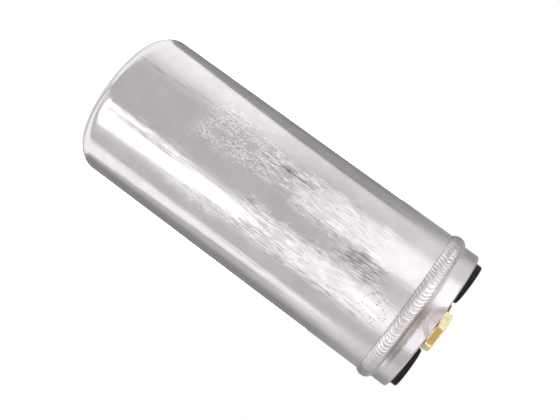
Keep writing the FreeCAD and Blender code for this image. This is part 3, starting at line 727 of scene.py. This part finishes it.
# %% Make the fusible plug
PLUG_FLATS, PLUG_TURN = 14.0, 16.0
PLUG_HEX = PLUG_HIGH.z - PLUG_SEAT_Z
HEX_BEVEL = 0.9
EDGE_BREAK = 0.16
PLUG_MERGE = 0.012
SHANK_LENGTH, SHANK_BEVEL = 15.0, 0.4
CORE_RADIUS, CORE_MOUTH_RADIUS, CORE_MOUTH_DEPTH, CORE_MOUTH_BEVEL = 1.9, 3.0, 2.2, 0.25


def make_plug():
    corner = PLUG_FLATS / math.sqrt(3)
    inner, outer = corner - HEX_BEVEL, corner + HEX_BEVEL
    plug = new_piece("fusible_plug_body", hexagon_mesh("fusible_plug_body", PLUG_FLATS, 0, PLUG_HEX))
    limit = [(0, 0, 0), (inner, 0, 0), (outer, HEX_BEVEL, 0), (outer, PLUG_HEX - HEX_BEVEL, 0),
             (inner, PLUG_HEX, 0), (0, PLUG_HEX, 0)]
    combine(plug, turned_mesh("cone", limit, segments=192), "INTERSECT")
    bevels = plug.modifiers.new("edges", "BEVEL")
    bevels.width = EDGE_BREAK * MM
    bevels.segments = 3
    bevels.limit_method = "ANGLE"
    bevels.angle_limit = math.radians(25)
    bake_modifiers(plug)
    tidy_corners(plug, PLUG_MERGE)
    return plug


def drill_plug(plug):
    narrow = PLUG_HOLE_RADIUS - SHANK_BEVEL
    shank = [(0, -SHANK_LENGTH, 0), (narrow, -SHANK_LENGTH, 0), (PLUG_HOLE_RADIUS, SHANK_BEVEL - SHANK_LENGTH, 0),
             (PLUG_HOLE_RADIUS, 0.4, 0), (0, 0.4, 0)]
    combine(plug, turned_mesh("shank", shank, segments=96), "UNION")
    mouth = CORE_MOUTH_RADIUS + CORE_MOUTH_BEVEL
    bore = [(0, -SHANK_LENGTH - 1.0, 0), (CORE_RADIUS, -SHANK_LENGTH - 1.0, 0),
            (CORE_RADIUS, PLUG_HEX - CORE_MOUTH_DEPTH, 0), (CORE_MOUTH_RADIUS, PLUG_HEX - CORE_MOUTH_DEPTH, 0),
            (CORE_MOUTH_RADIUS, PLUG_HEX - CORE_MOUTH_BEVEL, 0),
            (mouth + CORE_MOUTH_BEVEL, PLUG_HEX + CORE_MOUTH_BEVEL, 0), (0, PLUG_HEX + CORE_MOUTH_BEVEL, 0)]
    cut(plug, [turned_mesh("bore", bore, segments=96)])
    moved_mesh(plug.data, x=PLUG_X, y=PLUG_Y, z=PLUG_SEAT_Z, turn=PLUG_TURN)
    tidy_corners(plug, PLUG_MERGE)
    plug.data.shade_smooth()
    plug.data.set_sharp_from_angle(angle=math.radians(30))


plug = make_plug()
drill_plug(plug)
print("plug:", len(plug.data.polygons), "faces")

# %% [markdown]
# ## Finishes
#
# Each finish is a small node tree on one shader. Patterns read the place on the object in millimetres, so a scratch
# or a grain has its true size, and they stay where they are when the camera moves.

# %% Helpers for finishes
def new_finish(name, **uniform):
    """A material with its even values set on the shader, and the place on the object in millimetres."""
    material = bpy.data.materials.new(name)
    material.use_nodes = True
    tree = material.node_tree
    shader = tree.nodes["Principled BSDF"]
    for label, value in uniform.items():
        shader.inputs[label.replace("_", " ")].default_value = value
    metres = node_value(tree, "ShaderNodeTexCoord", output="Object")
    place = node_value(tree, "ShaderNodeVectorMath", {0: metres, "Scale": 1 / MM}, operation="SCALE")
    return material, shader, place


def layered(colour, layers):
    """Lay colours over one another, each by its own share."""
    for share, upper in layers:
        colour = tint(share, colour, upper)
    return colour


def streaks(place, across, along, detail=2.0, roughness=0.6):
    """Noise with one scale across the axis and another along it, so that its grain can run along the can."""
    inputs = {0: place, 1: (across, across, along)}
    scaled = node_value(place.tree, "ShaderNodeVectorMath", inputs, operation="MULTIPLY")
    return noise(scaled, 1.0, detail, roughness)


def tint(factor, first, second):
    """Mix two colours by a factor."""
    node = add_node(factor.tree, "ShaderNodeMix", data_type="RGBA")
    feed(node.inputs["Factor"], factor)
    feed(node.inputs[6], first if isinstance(first, Value) else (*first, 1.0))
    feed(node.inputs[7], second if isinstance(second, Value) else (*second, 1.0))
    return Value(factor.tree, node.outputs[2])


def bumped(shader, height, depth, below=None):
    """Raise the surface by a height between 0 and 1, where depth is in millimetres."""
    inputs = {"Height": height, "Distance": depth * MM, "Normal": below}
    normal = node_value(height.tree, "ShaderNodeBump", inputs)
    feed(shader.inputs["Normal"], normal)
    return normal


print("finish helpers are ready")

# %% [markdown]
# ### Polished can
#
# A drawn and polished can is close to a mirror, but not a perfect one: long fine lines run along it from drawing
# and polishing, some patches are mottled where the skin was rough before polishing, and the wall waves slightly.
# The mottled places are listed once, and noise breaks them up into specks and dashes. Some are darker than the
# wall. Others scatter light instead of mirroring it, which a slightly lower Metallic value gives.

# %% List the marks on the can
# Each patch: its lowest and highest height, its first and last angle from the front, and its share of specks and
# of dashes. The height is in millimetres and the angle in degrees.
MOTTLED = (
    (36, 63, -42, -6, 0.75, 0.35),
    (58, 84, -34, -8, 0.5, 0.9),
    (80, 116, -36, -4, 0.35, 0.7),
    (100, 121, -12, 6, 0.3, 1.0),
    (62, 128, 6, 31, 0.25, 0.8),
    (38, 62, 23, 35, 0.8, 0.3),
    (6, 40, 8, 17, 0.1, 0.5),
)
# Thin lines along the wall: angle, lowest and highest height, and half the width in degrees.
SCRATCHES = ((-29.0, 3, 28, 0.3), (-27.6, 6, 16, 0.35), (-31.5, 24, 46, 0.25), (-24.2, 69, 83, 1.3))
print("marks:", len(MOTTLED), "patches and", len(SCRATCHES), "scratches")

# %% Helpers for the marks
def band(value, low, high, soft):
    """One between two limits, falling softly to nothing outside them."""
    return value.steps(low - soft, low + soft) * value.steps(high - soft, high + soft, 1.0, 0.0)


def spots(place, scale, radius):
    """Scattered round spots, one in each cell of the given scale, with some cells left empty."""
    cells = add_node(place.tree, "ShaderNodeTexVoronoi", {"Vector": place, "Scale": scale})
    chance, _, _ = split(Value(place.tree, cells.outputs["Color"]))
    near = Value(place.tree, cells.outputs["Distance"]).steps(radius * 0.6, radius * 1.3, 1.0, 0.0)
    return near * chance.by("GREATER_THAN", 0.45)


def mottled_share(height, angle, ragged, kind):
    """How mottled the wall is at a place: kind 0 for specks and 1 for dashes."""
    total = None
    for low, high, first, last, *strengths in MOTTLED:
        share = band(height + ragged * 16.0, low, high, 4.0) * band(angle + ragged * 20.0, first, last, 4.0)
        share = share * strengths[kind]
        total = share if total is None else total.by("MAXIMUM", share)
    return total


def scratch_share(height, angle, ragged):
    """Thin lines along the wall."""
    total = None
    for where, low, high, half in SCRATCHES:
        share = band(angle + ragged * 1.5, where - half, where + half, half * 0.8) * band(height, low, high, 2.0)
        total = share if total is None else total.by("MAXIMUM", share)
    return total


print("mark helpers are ready")

# %% Finish of the can
# How far a bright speck falls short of a mirror.
BLOOM = 0.125


def polished_aluminium():
    material, shader, place = new_finish("polished_aluminium", Metallic=1.0)
    x, y, z = split(place)
    angle = angle_from_front(x, y)
    long_lines = streaks(place, 0.9, 0.016, 3.0)
    fine_lines = streaks(place, 3.0, 0.06)
    waves = streaks(place, 0.05, 0.018, 1.0, 0.4)
    ragged = noise(place, 0.16, 3.0, 0.7) - 0.5
    specks = streaks(place, 2.3, 1.3)
    dashes = streaks(place, 3.1, 0.20)
    clumps = streaks(place, 0.24, 0.10).steps(0.32, 0.52)
    speckled = mottled_share(z, angle, ragged, 0) * clumps
    dashed = mottled_share(z, angle, ragged, 1) * clumps
    broken = speckled.by("MAXIMUM", dashed)
    scratched = scratch_share(z, angle, long_lines - 0.5) * dashes.steps(0.40, 0.56, 1.0, 0.3)
    dust = noise(place, 0.11, 3.0, 0.6)
    near_weld = z.steps(92, 131)
    colour = tint(dust.steps(0.35, 0.65), (0.915, 0.905, 0.91), (0.86, 0.85, 0.855))
    # A patch where the wall's colour is darker, between heights 106 and 120 near the front.
    darker_patch = band(z + ragged * 10.0, 106, 120, 3.0) * band(angle + ragged * 14.0, -7, 5, 3.0)
    pitted = band(z + ragged * 10.0, 119, 131, 2.0) * band(angle + ragged * 16.0, 7, 28, 4.0)
    feed(shader.inputs["Base Color"], layered(colour, (
        (dashed * dashes.steps(0.39, 0.455, 1.0, 0.0) * 0.65, (0.40, 0.38, 0.34)),
        (speckled * specks.steps(0.39, 0.44, 1.0, 0.0) * 0.45, (0.52, 0.50, 0.46)),
        (scratched * 0.8, (0.34, 0.33, 0.29)),
        (darker_patch * dashes.steps(0.42, 0.56, 0.8, 0.2), (0.42, 0.40, 0.39)),
        (spots(place, 0.9, 0.22) * pitted, (0.20, 0.16, 0.14)),
    )))
    bloom = (speckled * specks.steps(0.49, 0.56)).by("MAXIMUM", dashed * dashes.steps(0.52, 0.575))
    worn = band(angle, -46, 34, 8.0) * z.steps(8, 30)
    bloom = bloom + worn * (fine_lines.steps(0.54, 0.70) * 0.14 + spots(place, 0.42, 0.10) * 0.6)
    feed(shader.inputs["Metallic"], (bloom * BLOOM).flipped())
    rough = fine_lines.steps(0.3, 0.7, 0.035, 0.075) + broken * 0.05 + near_weld * 0.20
    feed(shader.inputs["Roughness"], rough)
    first = bumped(shader, waves, 0.22)
    second = bumped(shader, long_lines, 0.040, first)
    third = bumped(shader, fine_lines, 0.012, second)
    fourth = bumped(shader, specks, 0.007, third)
    bumped(shader, (specks * speckled).by("MAXIMUM", dashes * dashed), 0.022, fourth)
    return material


def paint(piece, material):
    """Give a whole piece one finish."""
    piece.data.materials.clear()
    piece.data.materials.append(material)


can_finish = polished_aluminium()
paint(can, can_finish)
print("can finish:", len(can_finish.node_tree.nodes), "nodes")

# %% [markdown]
# ### Machined head and weld
#
# The head shows the marks of its turning, and beside the weld it is hazed by heat and spatter and carries a band of
# painted shade. The weld itself is cast metal: bright on each crest and rougher in each valley, with painted shade
# that darkens each valley and the bead's left and right sides.

# %% Finish of the head
# The colour of the painted shade that lies along the weld, on the head and on the bead's upper edge.
WELD_SHADE = (0.38, 0.335, 0.315)


def machined_aluminium():
    material, shader, place = new_finish("machined_aluminium", Metallic=1.0)
    x, y, z = split(place)
    reach = (x * x + y * y).by("SQRT")
    tool_marks = noise(joined(reach * 2.6, z * 2.6, 0.0), 1.0, 2.0, 0.6)
    haze = noise(place, 0.16, 3.0, 0.6)
    grain = noise(place, 1.4, 3.0, 0.6)
    angle = angle_from_front(x, y)
    near_weld = z.steps(SHOULDER_Z + WELD_HALF, SHOULDER_Z + WELD_HALF + 1.4, 1.0, 0.0)
    smut = near_weld * grain.steps(0.45, 0.65)
    # Painted shade: a band along the weld on the head's side, over the front and the right. It is slightly rougher
    # too.
    shade_by_weld = band(angle, -4, 44, 8.0) * (z + grain * 2.0).steps(SHOULDER_Z + 5.4, SHOULDER_Z + 6.1, 1.0, 0.0)
    spatter = spots(place, 1.6, 0.26) * band(angle, 13, 27, 3.0) * band(z, 138.0, 140.0, 0.7)
    # Inside the scallop the colour is darkened as painted shade in the pocket, and the ball-cut surface is rougher.
    above = z - SCALLOP_Z
    inside = (x * x + above * above).by("SQRT").steps(SCALLOP_RADIUS, SCALLOP_RADIUS + 0.3, 1.0, 0.0)
    scallop = inside * y.by("LESS_THAN", -20.0)
    colour = tint(haze.steps(0.35, 0.65), (0.91, 0.895, 0.90), (0.86, 0.84, 0.845))
    feed(shader.inputs["Base Color"], layered(colour, (
        (smut * 0.3, (0.50, 0.46, 0.42)),
        (shade_by_weld * 0.9, WELD_SHADE),
        (scallop * 0.7, (0.50, 0.45, 0.44)),
        (spatter * 0.8, (0.97, 0.95, 0.92)),
    )))
    rough = haze.steps(0.3, 0.7, 0.17, 0.25) + smut * 0.12 + shade_by_weld * 0.1 + scallop * 0.16
    feed(shader.inputs["Roughness"], rough)
    first = bumped(shader, tool_marks, 0.004)
    second = bumped(shader, grain * (near_weld * 0.7 + 0.3), 0.014, first)
    bumped(shader, spatter, 0.12, second)
    return material


paint(head, machined_aluminium())
print("head is painted")

# %% Finish of the weld, and the bead itself
def weld_aluminium():
    material, shader, place = new_finish("weld_aluminium", Metallic=1.0)
    crest = node_value(place.tree, "ShaderNodeAttribute", output="Fac", attribute_name="crest")
    grain = noise(place, 1.6, 3.0, 0.65)
    # Painted shade: the colour darkens from each ripple's crest down into its valley.
    colour = tint(crest.steps(0.0, 0.35), (0.62, 0.58, 0.57), (0.93, 0.915, 0.915))
    x, y, z = split(place)
    angle = angle_from_front(x, y)
    # Painted shade: the band along the weld goes on over the bead's upper edge.
    shade_by_weld = band(angle, -2, 40, 8.0) * (z + grain * 1.2).steps(SHOULDER_Z + 1.7, SHOULDER_Z + 2.7)
    feed(shader.inputs["Base Color"], layered(colour, (
        (grain.steps(0.55, 0.8) * 0.25, (0.66, 0.63, 0.61)),
        (shade_by_weld * 0.9, WELD_SHADE),
        # Painted shade: the bead darkens towards its left and right sides.
        (x.by("ABSOLUTE").steps(21.0, 30.0) * 0.6, (0.50, 0.485, 0.49)),
    )))
    feed(shader.inputs["Roughness"], crest.steps(0.1, 0.9, 0.36, 0.20))
    bumped(shader, grain, 0.012)
    return material


BEAD_INPUTS["Material"] = weld_aluminium()
bead = grown("stacked_weld_bead", bead_tree, BEAD_INPUTS)
print("bead:", len(bead.data.polygons), "faces")

# %% [markdown]
# ### Brass, plastic, glass and rubber
#
# The brass plug is pale, and its flat that faces outwards is darkened to amber as painted shade. The caps are soft
# black plastic with the finest grain, the ring has the yellow-brown film of passivated steel, and the seals are
# green rubber, as refrigerant seals are.

# %% Recipes for the small parts
def soft_metal(name, bright, dull, rough, grain_size=0.9, depth=0.01):
    """A metal with cloudy tarnish and a fine grain."""
    material, shader, place = new_finish(name, Metallic=1.0)
    cloud = noise(place, 0.35, 3.0, 0.6)
    grain = noise(place, grain_size, 2.0, 0.6)
    feed(shader.inputs["Base Color"], tint(cloud.steps(0.35, 0.65), bright, dull))
    feed(shader.inputs["Roughness"], grain.steps(0.3, 0.7, rough * 0.8, rough * 1.3))
    bumped(shader, grain, depth)
    return material


def brass_with_shaded_flat():
    """Pale brass, with painted shade that darkens the flat that faces outwards to amber."""
    material, shader, place = new_finish("plug_brass", Metallic=0.85)
    x, y, z = split(place)
    cloud = noise(place, 0.5, 3.0, 0.6)
    grain = noise(place, 1.6, 2.0, 0.6)
    angle = angle_from_front(x - PLUG_X, y - PLUG_Y)
    # Painted shade: the flat that faces outwards is darkened to amber.
    amber = band(angle + cloud * 8.0 - 4.0, -11, 42, 3.0)
    amber = amber * band(z + cloud * 0.6 - 0.3, PLUG_SEAT_Z + 0.35, PLUG_HIGH.z - 0.35, 0.3)
    pale = tint(cloud.steps(0.35, 0.65), (0.82, 0.78, 0.50), (0.72, 0.65, 0.36))
    feed(shader.inputs["Base Color"], tint(amber, pale, (0.42, 0.27, 0.10)))
    feed(shader.inputs["Roughness"], grain.steps(0.3, 0.7, 0.24, 0.36))
    bumped(shader, grain, 0.02)
    return material


def moulded(name, light, dark, rough, grain_size=2.5, depth=0.01, **uniform):
    """A plastic or rubber with a fine moulded grain."""
    material, shader, place = new_finish(name, **uniform)
    cloud = noise(place, 0.3, 2.0, 0.5)
    grain = noise(place, grain_size, 2.0, 0.6)
    feed(shader.inputs["Base Color"], tint(cloud.steps(0.3, 0.7), light, dark))
    feed(shader.inputs["Roughness"], grain.steps(0.3, 0.7, rough * 0.85, rough * 1.15))
    bumped(shader, grain, depth)
    return material


def clear_glass():
    material, shader, place = new_finish("clear_glass", IOR=1.5, Transmission_Weight=1.0)
    smear = noise(place, 0.5, 2.0, 0.5)
    clear = tint(smear.steps(0.3, 0.7), (0.97, 0.99, 0.98), (0.92, 0.96, 0.95))
    feed(shader.inputs["Base Color"], clear)
    feed(shader.inputs["Roughness"], smear.steps(0.35, 0.75, 0.01, 0.06))
    return material


print("recipes are ready")

# %% Paint the small parts
RECIPES = (
    (moulded, "black_plastic", (0.0016, 0.0016, 0.0028), (0.0008, 0.0008, 0.0014), 0.38,
     {"Specular_IOR_Level": 0.22}),
    (soft_metal, "fusible_metal", (0.55, 0.55, 0.56), (0.42, 0.42, 0.44), 0.45, {"depth": 0.03}),
    (soft_metal, "copper_seal", (0.83, 0.52, 0.38), (0.62, 0.36, 0.25), 0.3, {}),
    (soft_metal, "passivated_steel", (0.50, 0.41, 0.22), (0.33, 0.27, 0.17), 0.3, {}),
    (moulded, "green_rubber", (0.02, 0.12, 0.05), (0.015, 0.08, 0.035), 0.5, {}),
    (soft_metal, "tube_aluminium", (0.87, 0.87, 0.88), (0.78, 0.78, 0.80), 0.3, {}),
    (moulded, "white_plastic", (0.78, 0.78, 0.75), (0.70, 0.70, 0.66), 0.45, {}),
    (soft_metal, "strainer_steel", (0.62, 0.62, 0.62), (0.5, 0.5, 0.5), 0.35, {"grain_size": 4.0, "depth": 0.05}),
    (soft_metal, "pressed_aluminium", (0.85, 0.85, 0.86), (0.74, 0.74, 0.76), 0.35, {}),
    (moulded, "grey_felt", (0.50, 0.49, 0.46), (0.36, 0.35, 0.33), 0.95, {"grain_size": 1.6, "depth": 0.25}),
    (moulded, "desiccant_beads", (0.62, 0.50, 0.38), (0.48, 0.37, 0.27), 0.85, {"grain_size": 0.8, "depth": 0.5}),
    (soft_metal, "spring_steel", (0.50, 0.50, 0.51), (0.34, 0.34, 0.36), 0.32, {}),
)
FINISHES = {name: recipe(name, light, dark, rough, **more) for recipe, name, light, dark, rough, more in RECIPES}
FINISHES["plug_brass"] = brass_with_shaded_flat()
FINISHES["clear_glass"] = clear_glass()
NODE_FINISHES = {
    "fusible_alloy": "fusible_metal", "plug_seal": "copper_seal", "sight_glass_seal": "green_rubber",
    "tube_seal": "green_rubber", "pickup_tube": "tube_aluminium", "strainer_frame": "white_plastic",
    "strainer_mesh": "strainer_steel", "bed_carrier": "pressed_aluminium", "top_plate": "pressed_aluminium",
    "bottom_felt": "grey_felt", "top_felt": "grey_felt", "desiccant_bed": "desiccant_beads",
    "bed_spring": "spring_steel",
}
for node, finish in NODE_FINISHES.items():
    paint(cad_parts[node], FINISHES[finish])
for piece, finish in ((inlet_cap, "black_plastic"), (outlet_cap, "black_plastic"), (plug, "plug_brass"),
                      (glass_ring, "passivated_steel"), (glass, "clear_glass")):
    paint(piece, FINISHES[finish])
print("finishes:", len(bpy.data.materials))

# %% [markdown]
# ## Light and floor
#
# Polished metal has almost no colour of its own: it shows the room. So the part stands in a tent of soft light
# whose brightness changes round it, brighter where a soft box would stand and darker behind the part, which draws
# the long bands down the can. The floor is plain and pale, and bright enough to melt into the background.

# %% List the panels of the light tent
# Heights are degrees above or below the horizon.
HORIZON = 0.0


def panel(name, light, left, right, low=-90.0, high=90.0, soft=(4.0, 4.0), fade=(0.4, 0.4), bow=(0.0, 0.0)):
    """A soft box or a flag: edges and their softness in degrees, and how each side bows away from the horizon."""
    return {"name": name, "light": light, "left": left, "right": right, "low": low, "high": high,
            "soft": soft, "fade": fade, "bow": bow, "round": False}


def disc(name, light, centre, height, half_width, half_height, soft=0.06):
    """A round light or a round shade."""
    return {"name": name, "light": light, "left": centre - half_width, "right": centre + half_width,
            "low": height - half_height, "high": height + half_height, "soft": soft, "round": True}


# Compass angles run from the camera at -90 through the right side at 0 to the back at 90.
PANELS = (
    panel("dark back", 0.265, 33, 150, low=-26, soft=(10, 14), fade=(4, 1)),
    panel("side wall", 0.34, 130, 162, high=HORIZON, soft=(16, 0.7), bow=(0, -0.054)),
    panel("left upper wall", 0.60, 156, 205, low=HORIZON, soft=(14, 10)),
    panel("left wall", 0.74, 162, 190, high=HORIZON, soft=(0.7, 32), bow=(-0.054, 0)),
    panel("left soft box", 0.98, 162, 190, high=-10, soft=(0.7, 32), fade=(1, 4), bow=(-0.054, 0)),
    panel("right glow", 0.56, -30, 0, high=-5, soft=(14, 1), fade=(1, 3)),
    panel("right soft box", 0.99, -0.5, 10.5, high=HORIZON, soft=(0.7, 0.8), bow=(0, 0.042)),
    panel("right soft box's foot", 0.80, 8, 20, low=-5, high=HORIZON, soft=(2, 5), fade=(2.5, 0.4)),
    panel("glow round the strip light", 0.74, -73, -27, high=-7, soft=(5, 9), fade=(1, 3)),
    disc("strip light", 1.7, -53, -30, 19.6, 21),
    panel("stand of the strip light", 0.56, -65, -58.5, low=-21, high=-13.5, soft=(1.2, 1.5), fade=(1.5, 2.5)),
    panel("left lamp's skirt", 0.86, -158, -111, low=-7, soft=(5, 5), fade=(1.5, 1)),
    panel("left lamp", 1.12, -158, -114, low=-1.5, soft=(7, 7), fade=(1.5, 1)),
    panel("right lamp", 0.94, -74, -36, low=-7, soft=(6, 6), fade=(2, 1)),
    disc("camera", 0.28, -96, -1.6, 10, 1.2, soft=0.4),
    panel("right upper shade", 0.40, -33, -4, low=HORIZON, soft=(4, 4)),
    panel("right upper wall", 0.54, -2, 26, low=HORIZON, soft=(4, 4)),
    panel("low back light", 0.85, 84, 122, low=-66, high=-30, soft=(6, 8), fade=(10, 3)),
)


for item in PANELS:
    print(item["name"], item["light"])

# %% Shape a panel
# The edge of a bowed panel bends with the square of the height, up to this limit.
BOW_LIMIT = 1200.0


def panel_share(compass, height, item):
    """How much of a panel is seen in a direction, from nothing to fully."""
    centre = (item["left"] + item["right"]) / 2
    half = (item["right"] - item["left"]) / 2
    offset = (((compass - centre) / 360.0 + 0.5).by("FRACT") - 0.5) * 360.0
    if item["round"]:
        middle = (item["low"] + item["high"]) / 2
        tall = (item["high"] - item["low"]) / 2
        aside = offset / half
        along = (height - middle) / tall
        return (aside * aside + along * along).by("SQRT").steps(1.0 - item["soft"], 1.0 + item["soft"], 1.0, 0.0)
    bend = (height * height).by("MINIMUM", BOW_LIMIT)
    left_soft, right_soft = item["soft"]
    low_fade, high_fade = item["fade"]
    left_offset = offset - bend * item["bow"][0]
    right_offset = offset - bend * item["bow"][1]
    share = left_offset.steps(-half - left_soft, -half + left_soft)
    share = share * right_offset.steps(half - right_soft, half + right_soft, 1.0, 0.0)
    if item["low"] > -90.0:
        share = share * height.steps(item["low"] - low_fade, item["low"] + low_fade)
    if item["high"] < 90.0:
        share = share * height.steps(item["high"] - high_fade, item["high"] + high_fade, 1.0, 0.0)
    return share


print("panel maths is ready")

# %% Hang the tent
# The tent shines evenly where no panel hangs, a little darker overhead. A mirror sees the panels, a rough surface
# is lit by an even soft light, and the camera sees white. A colour can't hold more than one, so all of them are
# divided by the peak and the background's strength brings it back.
TENT_BASE, TENT_ABOVE = 0.515, 0.46
TENT_PEAK = 2.0
TENT_TINT = (1.0, 0.965, 0.995)
SOFT_LIGHT = 4.5


def make_tent():
    world = bpy.data.worlds.new("light_tent")
    bpy.context.scene.world = world
    world.use_nodes = True
    tree = world.node_tree
    background = tree.nodes["Background"]
    x, y, z = split(node_value(tree, "ShaderNodeTexCoord", output="Generated"))
    compass = y.by("ARCTAN2", x) * DEGREES - CAMERA_TURN
    height = z.by("ARCSINE") * DEGREES
    light = height.steps(20.0, 50.0, TENT_BASE, TENT_ABOVE)
    for item in PANELS:
        light = (light * -1.0 + item["light"]) * panel_share(compass, height, item) + light
    tent = tint(light / TENT_PEAK, (0.0, 0.0, 0.0), TENT_TINT)
    path = add_node(tree, "ShaderNodeLightPath")
    mirrored = Value(tree, path.outputs["Is Glossy Ray"]) + Value(tree, path.outputs["Is Transmission Ray"])
    mirrored = mirrored.by("MINIMUM", 1.0)
    soft = SOFT_LIGHT / TENT_PEAK
    seen = tint(mirrored, (soft, soft, soft), tent)
    white = 1.0 / TENT_PEAK
    seen = tint(Value(tree, path.outputs["Is Camera Ray"]), seen, (white, white, white))
    feed(background.inputs["Color"], seen)
    background.inputs["Strength"].default_value = TENT_PEAK


make_tent()
print("tent:", len(PANELS), "panels hang")

# %% Lay the floor and set the picture's tones
FLOOR_SIDE = 6.0
floor_mesh = bpy.data.meshes.new("floor")
half_side = FLOOR_SIDE / 2
corners = [(-half_side, -half_side, 0), (half_side, -half_side, 0), (half_side, half_side, 0),
           (-half_side, half_side, 0)]
floor_mesh.from_pydata(corners, [], [(0, 1, 2, 3)])
floor = new_piece("floor", floor_mesh)
paint(floor, moulded("pale_floor", (0.86, 0.86, 0.86), (0.83, 0.83, 0.83), 0.8))
floor.visible_glossy = False
view = bpy.context.scene.view_settings
view.view_transform = "Standard"
view.look = "None"
print("floor and light are set")

# %% [markdown]
# ## The pieces on the part
#
# Each new piece rides on the part's only body, and the plain part that it stands for is hidden.

# %% Tie the pieces to the part
PIECES = (
    (can, "can_shell", "polished_aluminium"),
    (head, "head", "machined_aluminium"),
    (bead, "weld_bead", "weld_aluminium"),
    (inlet_cap, "inlet_cap", "black_plastic"),
    (outlet_cap, "outlet_cap", "black_plastic"),
    (plug, "fusible_plug", "plug_brass"),
    (glass_ring, "sight_glass_ring", "passivated_steel"),
    (glass, "sight_glass", "clear_glass"),
)
for piece, node, slot in PIECES:
    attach(piece, "root")
    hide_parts(node)
